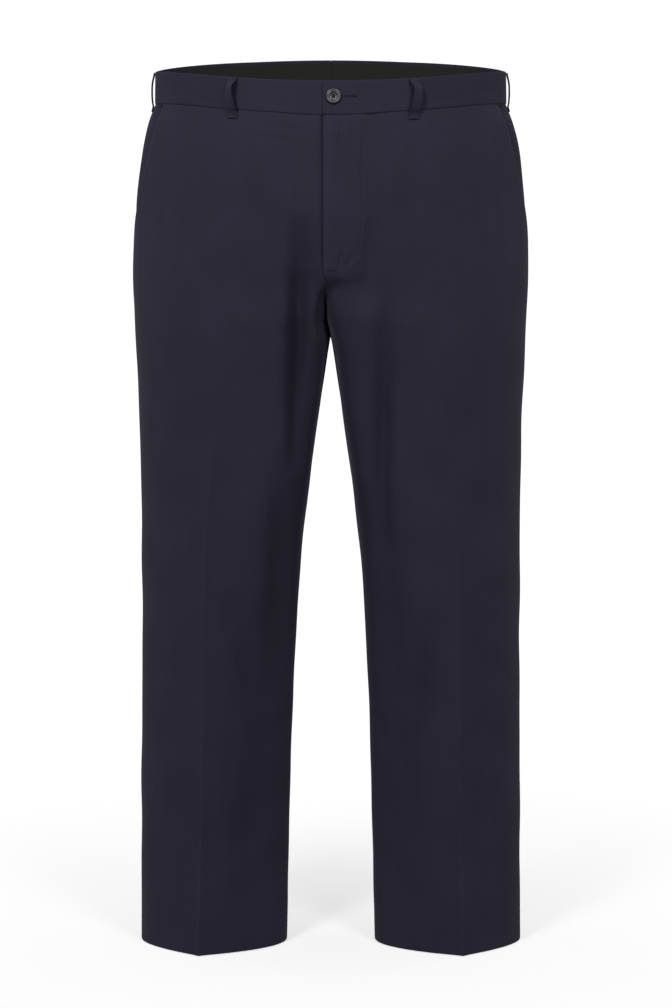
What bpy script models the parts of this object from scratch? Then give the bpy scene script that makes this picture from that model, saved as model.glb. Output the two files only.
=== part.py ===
"""Dress trousers that keep the hollow form they have when worn.

The tables are in millimetres and degrees, the meshes in metres. +Z is up, the front faces
-Y and +X is the wearer's left. The origin is the middle of the waist opening, at the height
of the waistband's top edge at the sides.

All cloth lies on one surface. A "level" is a height on the side of the body, 0 at the top of
the waistband and falling to the hem. Each level has an outline, followed by s: 0 at the
centre front (or the inseam, below the crotch), 0.25 at the front crease, 0.5 at the side,
0.75 at the back crease and 1 at the centre back (or the inseam again).
"""
import math
from bisect import bisect_right
from collections import namedtuple
from functools import lru_cache

import bmesh
import bpy
import numpy as np
from mathutils import Vector

MM = 0.001

# Driving dimensions, in millimetres.
WALL = 1.3                # suiting, with its turnings pressed flat
SEAM_GAP = 0.3            # between two pieces that are sewn edge to edge
FLY_LIFT = 1.9            # the left front lies this much higher over the fly
BAND_HEIGHT = 40.0
CROTCH = -328.5           # level of the crotch point
HEM = -1105.0
TURN_UP = 38.0            # depth of the hem's inner fold
FORK_Y = 15.0             # how far behind the middle the four panels meet
FRONT_FORK_RISE = 120.0   # height of the curved part of the front's centre seam
BACK_FORK_RISE = 165.0
SIDE_SEAM = 0.525         # s of the side seam, a little behind the outermost line
RIM_DIP = 17.0            # the waist sits this much lower at the centre front
RIM_RISE = 23.5           # and this much higher at the centre back
WAIST_FRONT = 112.0       # depth of the waist before and behind its sides
WAIST_BACK = 130.0
TILT_END = -270.0         # level where the tilt of the waist has died out
ROUND = 0.39              # Bezier handle over chord, for an even curve

FLY_END = -240.0          # level of the bottom of the fly
FLY_CORNER = 10.0         # the right front's edge goes under the left front over this height
FLY_FADE = 14.0           # the left front comes down to its base level over this height
FLY_OVERLAP = 9.0         # the left front passes the middle by this much
FLY_SEAM_END = -292.0     # below the fly the seam drifts back to the middle by here
FLY_WIDTH = 38.0          # from the middle to the J-shaped row of stitches
SHIELD_WIDTH = 36.0
SHIELD_DROP = 0.6         # the shield lies this much lower than the right front's face
UNDERLAP = 30.0           # the right half of the band runs on under the left half

BAND_RAISE = 0.5          # the band stands proud of the panels by this much
FACING_WALL = 1.0
FACING_DROP = 3.5         # the band's inner facing starts below the folded top edge
OVERLAP_LIFT = 1.9
UNDERLAP_SINK = 1.2

POCKET_TOP_X = 206.0      # where the slanted pocket edge leaves the waistband
POCKET_END = -225.0       # level where it reaches the side seam
POCKET_CURVE = 2.6        # how late it turns to the side seam: 1 is even
POCKET_RECESS = 3.8       # the facing lies this far inside the front's outer face
POCKET_TUCK = 0.03        # s by which the facing runs on under the front

LOOP_WIDTH = 12.0
LOOP_WALL = 1.4
LOOP_SEAT = 0.35
BUTTON_RADIUS = 9.0
BUTTON_X = 3.5
BUTTON_LEVEL = -18.9

# The outline at each level. front_in and front_out are the slopes of the cloth on the inner
# and outer side of the front crease, back_in and back_out those of the back crease.
# side_front, side_back and inner_round say how full the turns at the side and at the inseam
# are (0.39 is round), and mid_front and mid_back are where the centre seams run.
Section = namedtuple("Section", (
    "level side_x side_y side_front side_back front_x front_y front_in front_out "
    "back_x back_y back_in back_out mid_front mid_back inner_round"))
SECTIONS = (
    Section(-1105, 245.0, -2, .25, .34, 167, -81, -15, 30, 160, 76, -14, 27, -116, 150, .30),
    Section(-850, 242.3, 0, .33, .35, 160, -82, -13, 27, 156, 80, -13, 24, -116, 150, .31),
    Section(-690, 240.5, 2, .35, .36, 158, -84, -11, 23, 152, 86, -11, 21, -116, 150, .38),
    Section(-575, 240.4, 5, .36, .37, 154, -88, -10, 20, 148, 92, -10, 18, -116, 150, .52),
    Section(-460, 241.6, 8, .37, .37, 143, -94, -8, 15, 140, 102, -8, 13, -116, 150, .67),
    Section(-383, 243.8, 10, .38, .38, 133, -100, -5, 9, 132, 111, -6, 9, -116, 150, .76),
    Section(-330, 245.7, 11, .38, .38, 127, -105, -1, 6, 127, 120, -3, 8, -116, 150, .79),
    Section(-300, 246.9, 11, .38, .38, 125, -107, 3, 9, 124, 125, 2, 12, -116, 150, .79),
    Section(-255, 248.6, 10, .38, .38, 121, -108, 7, 13, 120, 130, 8, 18, -116, 150, .72),
    Section(-200, 247.0, 9, .37, .37, 118, -109, 11, 17, 116, 132, 14, 22, -119, 150, .39),
    Section(-140, 241.1, 7, .35, .36, 116, -108, 14, 19, 114, 128, 17, 22, -122, 148, .39),
    Section(-95, 234.9, 5, .33, .34, 115, -106, 15, 19, 113, 122, 18, 22, -121, 142, .39),
    Section(-62, 226.7, 3, .31, .32, 114, -103, 16, 19, 112, 117, 18, 20, -119, 137, .39),
    Section(-50, 222.0, 1, .30, .31, 113, -101, 17, 19, 112, 114, 18, 19, -117, 135, .39),
    Section(-40, 218.2, 0, .30, .30, 113, -99, 17, 19, 112, 112, 18, 18, -115, 134, .39),
    Section(0, 217.5, 0, .30, .30, 112, -96, 17, 19, 112, 107, 17, 17, -112, 130, .39),
)

# The inseam below the crotch.
Inseam = namedtuple("Inseam", "level x y")
INSEAM = (
    Inseam(-1105, 56.5, -4),
    Inseam(-950, 53.1, -2),
    Inseam(-793, 48.6, 0),
    Inseam(-690, 43.4, 2),
    Inseam(-612, 38.0, 4),
    Inseam(-535, 29.8, 7),
    Inseam(-484, 23.1, 9),
    Inseam(-434, 16.3, 11),
    Inseam(-383, 9.0, 13),
    Inseam(-339, 2.0, 15),
    Inseam(CROTCH, 0.2, FORK_Y),
)

# The largest soft folds, hollows first: each runs between two points seen from its own side
# of the garment, x to the wearer's left. A negative depth is a ridge.
Fold = namedtuple("Fold", "face x_top top x_bottom bottom depth half_width")
FOLDS = (
    Fold("front", -39, -196, -42, -480, 7.0, 15),
    Fold("front", -66, -400, -66, -760, 5.0, 22),
    Fold("front", 54, -176, 34, -300, 3.2, 15),
    Fold("front", 68, -270, 60, -560, 6.0, 15),
    Fold("front", 66, -480, 78, -760, 4.0, 22),
    Fold("front", 128, -660, 104, -850, 3.5, 20),
    Fold("front", -120, -520, -98, -900, 2.5, 26),
    Fold("back", -40, -215, -70, -520, 5.0, 22),
    Fold("back", 42, -215, 66, -500, 5.0, 22),
    Fold("back", -150, -420, -110, -760, 3.0, 28),
    Fold("back", 120, -560, 150, -860, 3.0, 28),
)

# The rows of every leg panel: the levels at the centre edge and at the side that each run of
# rows ends on, how many rows it has, and a power above 1 to crowd them towards its end.
RowRun = namedtuple("RowRun", "edge_end side_end rows crowd")
ROW_RUNS = (
    RowRun(-63.0, -63.0, 2, 1.0),
    RowRun(FLY_END + FLY_CORNER, -217.0, 8, 1.0),
    RowRun(FLY_END, -232.0, 1, 1.0),
    RowRun(FLY_END - FLY_FADE, -250.0, 1, 1.0),
    RowRun(CROTCH, -350.0, 6, 2.0),
    RowRun(-400.0, -410.0, 3, 1.0),
    RowRun(HEM + TURN_UP, HEM + TURN_UP, 11, 1.0),
    RowRun(HEM, HEM, 1, 1.0),
)

# A belt loop's stand-off from the band along its length.
LoopRow = namedtuple("LoopRow", "level standoff")
LOOP_ROWS = (
    LoopRow(-1.5, 0.0),
    LoopRow(-5.0, 0.3),
    LoopRow(-8.5, 2.6),
    LoopRow(-12.0, 4.2),
    LoopRow(-20.0, 4.4),
    LoopRow(-29.0, 4.4),
    LoopRow(-37.0, 4.2),
    LoopRow(-41.5, 2.8),
    LoopRow(-45.5, 0.8),
    LoopRow(-48.0, 0.1),
    LoopRow(-52.0, 0.0),
)

# Where the belt loops are: face, x to the wearer's left, and how far the loop's outer edge
# is turned away from the band, in degrees.
Loop = namedtuple("Loop", "name face x turn")
LOOPS = (
    Loop("belt_loop_front_right", "front", -118.5, 10),
    Loop("belt_loop_front_left", "front", 101.0, 8),
    Loop("belt_loop_side_right", "side", -1, 0),
    Loop("belt_loop_side_left", "side", 1, 0),
    Loop("belt_loop_back_right", "back", -76.0, 7),
    Loop("belt_loop_back_left", "back", 76.0, 7),
    Loop("belt_loop_centre", "back", 0.0, 0),
)

# The button's turned profile: radius and height as shares of its radius.
BUTTON_PROFILE = (
    (0.00, 0.00), (0.88, 0.00), (1.00, 0.13), (0.97, 0.29), (0.86, 0.36), (0.74, 0.33),
    (0.62, 0.22), (0.52, 0.19), (0.00, 0.19),
)
BUTTON_HOLE_RADIUS = 0.95
BUTTON_HOLE_SPACING = 1.75

CLOTH_COLOUR = (0.026, 0.024, 0.038, 1.0)
FACING_COLOUR = (0.015, 0.015, 0.014, 1.0)
BUTTON_COLOUR = (0.030, 0.030, 0.034, 1.0)


# ---------------------------------------------------------------------------- the surface

def ease(value, start, end):
    """Go smoothly from 0 at start to 1 at end."""
    t = min(max((value - start) / (end - start), 0.0), 1.0)
    return t * t * (3.0 - 2.0 * t)


def between(rows):
    """Return a function that reads the rows' columns at any level, with no overshoot."""
    levels = [row.level for row in rows]
    slopes = []
    for column in zip(*rows):
        steps = [(column[k + 1] - column[k]) / (levels[k + 1] - levels[k])
                 for k in range(len(rows) - 1)]
        inner = [2 * a * b / (a + b) if a * b > 0 else 0.0 for a, b in zip(steps, steps[1:])]
        slopes.append([steps[0]] + inner + [steps[-1]])

    def read(level):
        k = min(max(bisect_right(levels, level) - 1, 0), len(rows) - 2)
        span = levels[k + 1] - levels[k]
        t = min(max((level - levels[k]) / span, 0.0), 1.0)
        rise = t * t * (3 - 2 * t)
        values = []
        for low, high, slope in zip(rows[k], rows[k + 1], slopes):
            bend = t * (1 - t) * (slope[k] * (1 - t) - slope[k + 1] * t) * span
            values.append(low + (high - low) * rise + bend)
        return type(rows[0])(*values)

    return read


section_at = between(SECTIONS)
inseam_at = between(INSEAM)


def fork(level, rise):
    """How far an arc has gone from a leg's to the body's, in x and in y.

    Depth comes before width, so a narrow cleft stays between the tops of the legs.
    """
    deep = ease(level, CROTCH, CROTCH + 0.65 * rise)
    return np.array((deep ** 3, deep))


def fork_cut(level, rise):
    """The share of an arc that is cut off at its seam end: it rounds the seam's fork."""
    share = min(max((level - CROTCH) / rise, 0.0), 1.0)
    return 0.55 * math.sqrt(share) * (1 - share)


def arc(start, leave, out, end, arrive, back):
    """Four Bezier points: directions in degrees, handle lengths as shares of the chord."""
    chord = math.dist(start, end)
    leave, arrive = math.radians(leave), math.radians(arrive)
    return np.array((
        start,
        (start[0] + math.cos(leave) * chord * out, start[1] + math.sin(leave) * chord * out),
        (end[0] - math.cos(arrive) * chord * back, end[1] - math.sin(arrive) * chord * back),
        end))


@lru_cache(maxsize=None)
def arcs(level):
    """The four Bezier arcs of the outline at a level."""
    row = section_at(level)
    inseam = inseam_at(level)
    edge = (inseam.x, inseam.y)
    front = (row.front_x, row.front_y)
    side = (row.side_x, row.side_y)
    back = (row.back_x, row.back_y)
    full = row.inner_round
    near = min(ROUND + 1.2 * (full - 0.34), 0.73)
    leg_front = arc(edge, -90, full, front, row.front_in, near)
    leg_back = arc(back, 180 - row.back_in, near, edge, 270, full)
    body_front = arc((0, row.mid_front), 0, ROUND, front, row.front_in, ROUND)
    body_back = arc(back, 180 - row.back_in, ROUND, (0, row.mid_back), 180, ROUND)
    return (
        leg_front + (body_front - leg_front) * fork(level, FRONT_FORK_RISE),
        arc(front, row.front_out, ROUND, side, 90, row.side_front),
        arc(side, 90, row.side_back, back, 180 - row.back_out, ROUND),
        leg_back + (body_back - leg_back) * fork(level, BACK_FORK_RISE))


def on_arc(points, t):
    weights = ((1 - t) ** 3, 3 * t * (1 - t) ** 2, 3 * t * t * (1 - t), t ** 3)
    return (sum(w * p[0] for w, p in zip(weights, points)),
            sum(w * p[1] for w, p in zip(weights, points)))


def outline(s, level):
    """The outline's (x, y) at s. Past its ends it goes on round the leg, or past the middle."""
    mirrored = 1
    if s < 0 or s > 1:
        if level > CROTCH:
            mirrored = -1
            s = -s if s < 0 else 2 - s
        else:
            s = s % 1.0
    k = min(int(s * 4), 3)
    t = s * 4 - k
    points = arcs(level)[k]
    if level <= CROTCH or k in (1, 2):
        x, y = on_arc(points, t)
    else:
        rise = FRONT_FORK_RISE if k == 0 else BACK_FORK_RISE
        cut = fork_cut(level, rise)
        t = cut + t * (1 - cut) if k == 0 else t * (1 - cut)
        x, y = on_arc(points, t)
        seam_x = on_arc(points, cut if k == 0 else 1 - cut)[0]
        edge_x, crease_x = (points[0][0], points[3][0])[::1 if k == 0 else -1]
        x = edge_x + (x - seam_x) * (crease_x - edge_x) / (crease_x - seam_x)
    return mirrored * x, y


def surface(s, level):
    """The point of the cloth's outer face, before folds."""
    x, y = outline(s, level)
    if y < 0:
        rise = -RIM_DIP * (y / WAIST_FRONT) ** 2
    else:
        rise = RIM_RISE * (y / WAIST_BACK) ** 1.08
    return Vector((x, y, level + rise * (1 - ease(level, -BAND_HEIGHT, TILT_END))))


def tangent_and_normal(s, level):
    """The unit direction along the outline, and the unit direction out of the cloth."""
    low = level if level > CROTCH else level - 1.0
    along = surface(s + 0.012, level) - surface(s - 0.012, level)
    up = surface(s, low + 1.0) - surface(s, low)
    return along.normalized(), along.cross(up).normalized()


def s_at_x(x, level, face="front"):
    """Find s where the front or back of the outline is at x."""
    low, high = (0.0, 0.5) if face == "front" else (1.0, 0.5)
    for _ in range(40):
        middle = (low + high) / 2
        if outline(middle, level)[0] < abs(x):
            low = middle
        else:
            high = middle
    if x < 0:
        return -low if face == "front" else 2 - low
    return low


def fold_depth(x, s, level):
    """How far the soft folds push the cloth in at x (wearer's left positive)."""
    depth = 0.0
    for fold in FOLDS:
        on_face = 1 - ease(s, 0.42, 0.5) if fold.face == "front" else ease(s, 0.5, 0.58)
        share = (level - fold.top) / (fold.bottom - fold.top)
        if on_face > 0 and 0 < share < 1:
            line = fold.x_top + (fold.x_bottom - fold.x_top) * share
            across = (x - line) / fold.half_width
            depth += fold.depth * on_face * math.exp(-across * across) * math.sin(math.pi * share)
    return depth


def cloth_point(side, s, level, height, nudge=0.0):
    """A point at a height over the base surface, on the wearer's left (1) or right (-1).

    nudge moves it along the outline, which is how two sewn edges keep their gap.
    """
    along, out = tangent_and_normal(s, level)
    base = surface(s, level)
    point = base + out * (height - fold_depth(side * base.x, s, level)) + along * nudge
    return Vector((side * point.x, point.y, point.z))


# ------------------------------------------------------------------------------- building

def material(name, colour, roughness):
    made = bpy.data.materials.new(name)
    made.use_nodes = True
    shader = made.node_tree.nodes["Principled BSDF"]
    shader.inputs["Base Color"].default_value = colour
    shader.inputs["Roughness"].default_value = roughness
    shader.inputs["Metallic"].default_value = 0.0
    return made


def add_object(name, bm, look):
    """Turn a bmesh into a named, smooth-shaded object."""
    bmesh.ops.recalc_face_normals(bm, faces=bm.faces)
    if bm.calc_volume(signed=True) < 0:
        bmesh.ops.reverse_faces(bm, faces=bm.faces)
    mesh = bpy.data.meshes.new(name)
    bm.to_mesh(mesh)
    bm.free()
    mesh.materials.append(look)
    mesh.shade_smooth()
    mesh.set_sharp_from_angle(angle=math.radians(35))
    made = bpy.data.objects.new(name, mesh)
    bpy.context.scene.collection.objects.link(made)
    return made


def wall(name, columns, rows, place, look):
    """A cloth wall: a flat slab of columns by rows, each point moved by place(i, j, inside).

    inside is 0 on the outer face and 1 on the inner face.
    """
    bm = bmesh.new()
    bmesh.ops.create_grid(bm, x_segments=columns, y_segments=rows, size=0.5)
    thick = bmesh.ops.extrude_face_region(bm, geom=bm.faces[:])
    inner = [item for item in thick["geom"] if isinstance(item, bmesh.types.BMVert)]
    bmesh.ops.translate(bm, verts=inner, vec=(0, 0, 1))
    for vert in bm.verts:
        i = round((vert.co.x + 0.5) * columns)
        j = round((vert.co.y + 0.5) * rows)
        vert.co = place(i, j, round(vert.co.z)) * MM
    return add_object(name, bm, look)


def panel_levels():
    """The levels of the panels' rows, as pairs (at the centre edge, at the side)."""
    start = -BAND_HEIGHT - SEAM_GAP / 2
    rows = [(start, start)]
    for run in ROW_RUNS:
        edge_start, side_start = rows[-1]
        for k in range(1, run.rows + 1):
            even = k / run.rows
            crowded = 1 - (1 - even) ** run.crowd
            rows.append((edge_start + (run.edge_end - edge_start) * crowded,
                         side_start + (run.side_end - side_start) * even))
    return rows


PANEL_LEVELS = panel_levels()
FRONT_INNER = 7           # columns of a front between its centre edge and its crease


def panel_level(row, s):
    """The level of a row at s: the rows fan out from the crotch to the side."""
    edge, side = PANEL_LEVELS[row]
    weight = max(0.0, 1 - min(abs(s), abs(1 - s)) / 0.25) ** 2
    return side + (edge - side) * weight


def wall_depth(row):
    """The cloth is double inside the hem's turn-up."""
    return WALL if row < len(PANEL_LEVELS) - 2 else 2 * WALL


def fly_edge(level, half):
    """The x of a front's centre edge: 1 for the left front, -1 for the right front."""
    seam = -FLY_OVERLAP * ease(level, FLY_SEAM_END, FLY_END)
    if half < 0:
        seam *= 1 - ease(level, FLY_END, FLY_END + FLY_CORNER)
    return seam


def fly_lift(x, level):
    """The left front lies over the fly shield, and comes down beside and below it."""
    beside = 1 - ease(x, FLY_WIDTH, FLY_WIDTH + 12.0)
    return FLY_LIFT * beside * ease(level, FLY_END - FLY_FADE, FLY_END)


def pocket_edge(level):
    """The s of the front's slanted pocket edge, and of the side seam below it."""
    top = s_at_x(POCKET_TOP_X, -BAND_HEIGHT)
    share = min(max((level + BAND_HEIGHT) / (POCKET_END + BAND_HEIGHT), 0.0), 1.0)
    return top + (SIDE_SEAM - top) * share ** POCKET_CURVE


def front_columns(half, level):
    """The s of the columns from the centre edge to the crease, two of them beside the fly."""
    if level <= CROTCH:
        return [0.25 * i / FRONT_INNER for i in range(FRONT_INNER + 1)]
    start = s_at_x(half * fly_edge(level, half), level)
    middle, beside, flat = (s_at_x(FLY_WIDTH + x, level) for x in (-19.0, 1.0, 13.0))
    second = max(s_at_x(2.0, level), start + (middle - start) * 0.3)
    marks = [start, second, middle, beside, flat]
    marks += [flat + (0.25 - flat) * k / 3 for k in (1, 2, 3)]
    fly = ease(level, CROTCH, FLY_END)
    even = [start + (0.25 - start) * i / FRONT_INNER for i in range(FRONT_INNER + 1)]
    return [a + (b - a) * fly for a, b in zip(even, marks)]


def front_panel(name, half, look):
    inner_columns, outer_columns = FRONT_INNER, 8
    starts = [front_columns(half, edge) for edge, side in PANEL_LEVELS]

    def place(i, j, inside):
        if i <= inner_columns:
            s = starts[j][i]
        else:
            side_level = PANEL_LEVELS[j][1]
            share = (i - inner_columns) / outer_columns
            s = 0.25 + (pocket_edge(side_level) - 0.25) * share
        level = panel_level(j, s) if i else PANEL_LEVELS[j][0]
        nudge = {0: SEAM_GAP / 2, inner_columns + outer_columns: -SEAM_GAP / 2}.get(i, 0.0)
        height = -inside * wall_depth(j)
        if half > 0:
            height += fly_lift(surface(s, level).x, level)
        return cloth_point(half, s, level, height, nudge)

    return wall(name, inner_columns + outer_columns, len(PANEL_LEVELS) - 1, place, look)


def back_panel(name, half, look):
    outer_columns, inner_columns = 7, 6

    def place(i, j, inside):
        if i <= outer_columns:
            s = SIDE_SEAM + (0.75 - SIDE_SEAM) * i / outer_columns
        else:
            s = 0.75 + 0.25 * (i - outer_columns) / inner_columns
        nudge = {0: SEAM_GAP / 2, inner_columns + outer_columns: -SEAM_GAP / 2}.get(i, 0.0)
        return cloth_point(half, s, panel_level(j, s), -inside * wall_depth(j), nudge)

    return wall(name, inner_columns + outer_columns, len(PANEL_LEVELS) - 1, place, look)


def pocket_facing(name, half, look):
    """The piece that shows in the pocket mouth, flush at the side seam where it is wide."""
    columns = 6
    levels = [side for edge, side in PANEL_LEVELS if side > POCKET_END - 25.0]
    rows = len(levels) - 1

    def place(i, j, inside):
        level = levels[j]
        edge = pocket_edge(level)
        s = edge - POCKET_TUCK + (SIDE_SEAM - edge + POCKET_TUCK) * i / columns
        shown = ease(s, edge + 0.004, edge + 0.045)
        height = -POCKET_RECESS * (1 - shown) - inside * WALL
        nudge = -SEAM_GAP / 2 if i == columns else 0.0
        return cloth_point(half, s, level, height, nudge)

    return wall(name, columns, rows, place, look)


def fly_shield(name, look):
    columns = 2
    levels = [edge for edge, side in PANEL_LEVELS if edge > FLY_END + 1.0]
    rows = len(levels) - 1

    def place(i, j, inside):
        level = levels[j]
        s = s_at_x(SHIELD_WIDTH, level) * i / columns
        nudge = SEAM_GAP / 2 if i == 0 else 0.0
        return cloth_point(1, s, level, -SHIELD_DROP - inside * WALL, nudge)

    return wall(name, columns, rows, place, look)


def band_height(half, s, level):
    """The height of the band's outer face, which rises or sinks where the ends overlap."""
    if s > 0.25:
        return BAND_RAISE
    x = surface(s, level).x
    if half > 0:
        return BAND_RAISE + OVERLAP_LIFT * (1 - ease(x, FLY_WIDTH + 2.0, FLY_WIDTH + 22.0))
    return BAND_RAISE - UNDERLAP_SINK * (1 - ease(x, FLY_OVERLAP + 3.0, FLY_OVERLAP + 16.0))


def band(name, half, top, drop, depth, rows, look):
    """One half of a waistband layer, from its overlap or underlap to the centre back."""
    columns = 28
    past_middle = FLY_OVERLAP if half > 0 else UNDERLAP
    bottom = -BAND_HEIGHT + SEAM_GAP / 2

    def place(i, j, inside):
        level = top + (bottom - top) * j / rows
        start = s_at_x(-past_middle, level)
        s = start + (0.25 - start) * i / 7 if i < 7 else i / columns
        height = band_height(half, s, level) - drop - inside * depth
        nudge = -SEAM_GAP / 2 if i == columns else 0.0
        return cloth_point(half, s, level, height, nudge)

    return wall(name, columns, rows, place, look)


def belt_loop(loop, look):
    """A flat strap that stands off the band and is caught at both ends."""
    half = -1 if loop.x < 0 else 1
    columns = 2

    def place(i, j, inside):
        row = LOOP_ROWS[j]
        if loop.face == "side":
            s = 0.5
        else:
            s = s_at_x(abs(loop.x), row.level, loop.face)
        centre = cloth_point(half, s, row.level, 0.0)
        along, out = tangent_and_normal(s, row.level)
        along = Vector((half * along.x, along.y, 0)).normalized()
        out = Vector((half * out.x, out.y, out.z))
        across = LOOP_WIDTH * (i / columns - 0.5)
        outwards = across if loop.face == "front" else -across
        on_band = BAND_RAISE * ease(row.level, -BAND_HEIGHT - 4, -BAND_HEIGHT)
        free = row.standoff / max(r.standoff for r in LOOP_ROWS)
        turned = math.tan(math.radians(loop.turn)) * (outwards + LOOP_WIDTH / 2) * free
        height = LOOP_SEAT + on_band + row.standoff + turned + LOOP_WALL * (1 - inside)
        return centre + along * across + out * height

    return wall(loop.name, columns, len(LOOP_ROWS) - 1, place, look)


def button(look):
    """A turned four-hole button that sits on the overlapping end of the band."""
    bm = bmesh.new()
    ring = [bm.verts.new((r * BUTTON_RADIUS * MM, 0, h * BUTTON_RADIUS * MM))
            for r, h in BUTTON_PROFILE]
    edges = [bm.edges.new(pair) for pair in zip(ring, ring[1:])]
    bmesh.ops.spin(bm, geom=ring + edges, cent=(0, 0, 0), axis=(0, 0, 1), dvec=(0, 0, 0),
                   angle=math.tau, steps=28, use_merge=True)
    bmesh.ops.remove_doubles(bm, verts=bm.verts, dist=0.00001)
    made = add_object("button", bm, look)

    cutter_bm = bmesh.new()
    for quarter in range(4):
        turn = math.tau * (quarter + 0.5) / 4
        found = bmesh.ops.create_cone(cutter_bm, cap_ends=True, segments=8,
                                      radius1=BUTTON_HOLE_RADIUS * MM,
                                      radius2=BUTTON_HOLE_RADIUS * MM, depth=0.02)
        spot = Vector((math.cos(turn), math.sin(turn), 0)) * BUTTON_HOLE_SPACING * MM
        bmesh.ops.translate(cutter_bm, verts=found["verts"], vec=spot)
    cutter = add_object("button_holes", cutter_bm, look)
    cutter.hide_render = True
    cutter.display_type = "WIRE"
    drill = made.modifiers.new("holes", "BOOLEAN")
    drill.operation = "DIFFERENCE"
    drill.object = cutter

    s = s_at_x(BUTTON_X, BUTTON_LEVEL)
    out = tangent_and_normal(s, BUTTON_LEVEL)[1]
    seat = cloth_point(1, s, BUTTON_LEVEL, BAND_RAISE + OVERLAP_LIFT + SEAM_GAP)
    for piece in (made, cutter):
        piece.location = seat * MM
        piece.rotation_euler = out.to_track_quat("Z", "Y").to_euler()
    return made


def build():
    for old in list(bpy.data.objects):
        bpy.data.objects.remove(old)
    cloth = material("suiting", CLOTH_COLOUR, 0.85)
    lining = material("band_facing", FACING_COLOUR, 0.8)
    horn = material("button_resin", BUTTON_COLOUR, 0.35)

    for half, name in ((1, "left"), (-1, "right")):
        front_panel("front_" + name, half, cloth)
        back_panel("back_" + name, half, cloth)
        pocket_facing("pocket_facing_" + name, half, cloth)
        band("waistband_" + name, half, 0.0, 0.0, WALL, 3, cloth)
        band("band_facing_" + name, half, -FACING_DROP, WALL + SEAM_GAP, FACING_WALL, 2, lining)
    fly_shield("fly_shield", cloth)
    for loop in LOOPS:
        belt_loop(loop, cloth)
    button(horn)


build()
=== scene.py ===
"""Dress trousers in dark suiting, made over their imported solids.

The tables are in millimetres and degrees, the meshes in metres. +Z is up, the front faces
-Y and +X is the wearer's left. The origin is the middle of the waist opening, at the height
of the waistband's top edge at the sides.

All cloth lies on one surface. A "level" is a height on the side of the body, 0 at the top of
the waistband and falling to the hem. Each level has an outline, followed by s: 0 at the
centre front (or the inseam, below the crotch), 0.25 at the front crease, 0.5 at the side,
0.75 at the back crease and 1 at the centre back (or the inseam again).
"""
import math
from collections import namedtuple

import bmesh
import bpy
import numpy as np
from bpy.props import FloatProperty, FloatVectorProperty, PointerProperty
from mathutils import Matrix, Vector


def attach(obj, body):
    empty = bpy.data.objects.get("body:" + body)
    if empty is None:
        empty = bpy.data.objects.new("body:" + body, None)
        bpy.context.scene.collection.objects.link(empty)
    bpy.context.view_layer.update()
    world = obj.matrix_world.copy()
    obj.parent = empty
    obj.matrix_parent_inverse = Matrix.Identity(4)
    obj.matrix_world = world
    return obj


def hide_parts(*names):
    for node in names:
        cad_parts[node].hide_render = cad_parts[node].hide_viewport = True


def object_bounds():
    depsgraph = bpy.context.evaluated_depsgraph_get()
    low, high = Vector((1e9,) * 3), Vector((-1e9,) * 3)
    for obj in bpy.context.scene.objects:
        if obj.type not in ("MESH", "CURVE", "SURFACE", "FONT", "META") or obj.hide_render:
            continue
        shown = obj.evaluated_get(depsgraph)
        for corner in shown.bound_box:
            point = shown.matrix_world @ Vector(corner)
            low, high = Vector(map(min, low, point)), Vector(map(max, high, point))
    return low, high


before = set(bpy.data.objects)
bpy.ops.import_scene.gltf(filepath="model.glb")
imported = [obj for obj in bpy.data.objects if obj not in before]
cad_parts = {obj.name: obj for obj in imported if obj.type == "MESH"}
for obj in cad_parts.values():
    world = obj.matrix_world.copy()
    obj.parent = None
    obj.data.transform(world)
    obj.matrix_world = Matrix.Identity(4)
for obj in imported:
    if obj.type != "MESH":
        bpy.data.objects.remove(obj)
CAD_BOUNDS = [list(map(float, corner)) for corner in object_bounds()]

bl_info = {
    "name": "Dress Trousers",
    "version": (1, 0, 0),
    "blender": (4, 5, 0),
    "location": "3D View > Sidebar > Trousers",
    "description": "Makes filled-out dress trousers with pressed creases over their solids",
    "category": "Object",
}

MM = 0.001
SIDES = ((1, "left"), (-1, "right"))      # the wearer's

# Driving sizes of the surface, in millimetres.
WALL = 1.3                # suiting, with its turnings pressed flat
SEAM_GAP = 0.3
FLY_LIFT = 1.9            # the left front lies this much higher over the fly
BAND_HEIGHT = 40.0
CROTCH = -328.5
HEM = -1105.0
TURN_UP = 38.0
FRONT_FORK_RISE = 120.0   # height of the curved part of the front's centre seam
BACK_FORK_RISE = 165.0
SIDE_SEAM = 0.525
RIM_DIP = 17.0
RIM_RISE = 23.5
WAIST_FRONT = 112.0
WAIST_BACK = 130.0
TILT_END = -270.0
ROUND = 0.39              # Bezier handle over chord, for an even curve
FORK_LEAN = -6.0          # the top of the cleft between the legs leans to the fly's edge
CREASE_START = {1: -345.0, -1: -425.0}    # where the front creases fade out
CREASE_FADE = 110.0

# How turned edges drop: by how much, and within what distance.
SEAM_ROLL = (0.55, 2.6)
TOP_ROLL = (0.7, 4.0)
HEM_ROLL = (0.5, 2.0)

FLY_END = -240.0
FLY_CORNER = 10.0
FLY_FADE = 24.0
FLY_OVERLAP = 9.0
FLY_SEAM_END = -292.0
FLY_WIDTH = 38.0
FLY_VALLEY = 2.8          # the cloth dips beside the fly's edge
FLY_ROLL = (1.3, 7.0)     # and the left front's edge rolls over towards it
FLY_STITCHES = (          # the J-shaped row: x and level
    (37.0, -46.0), (36.6, -120.0), (35.6, -196.0), (33.5, -216.0),
    (28.0, -229.0), (19.0, -237.5), (6.0, -243.0), (-6.0, -244.5))
FLY_GROOVE = (0.55, 1.5)  # how deep and how wide that row pulls the cloth in
FLY_HIGHLIGHT_END = -262.0         # the painted highlight on the fly's turned edge reaches down to here
FLY_TACK = ((-3.0, -242.4), (6.5, -244.0))
UNDERLAP = 30.0

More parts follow.
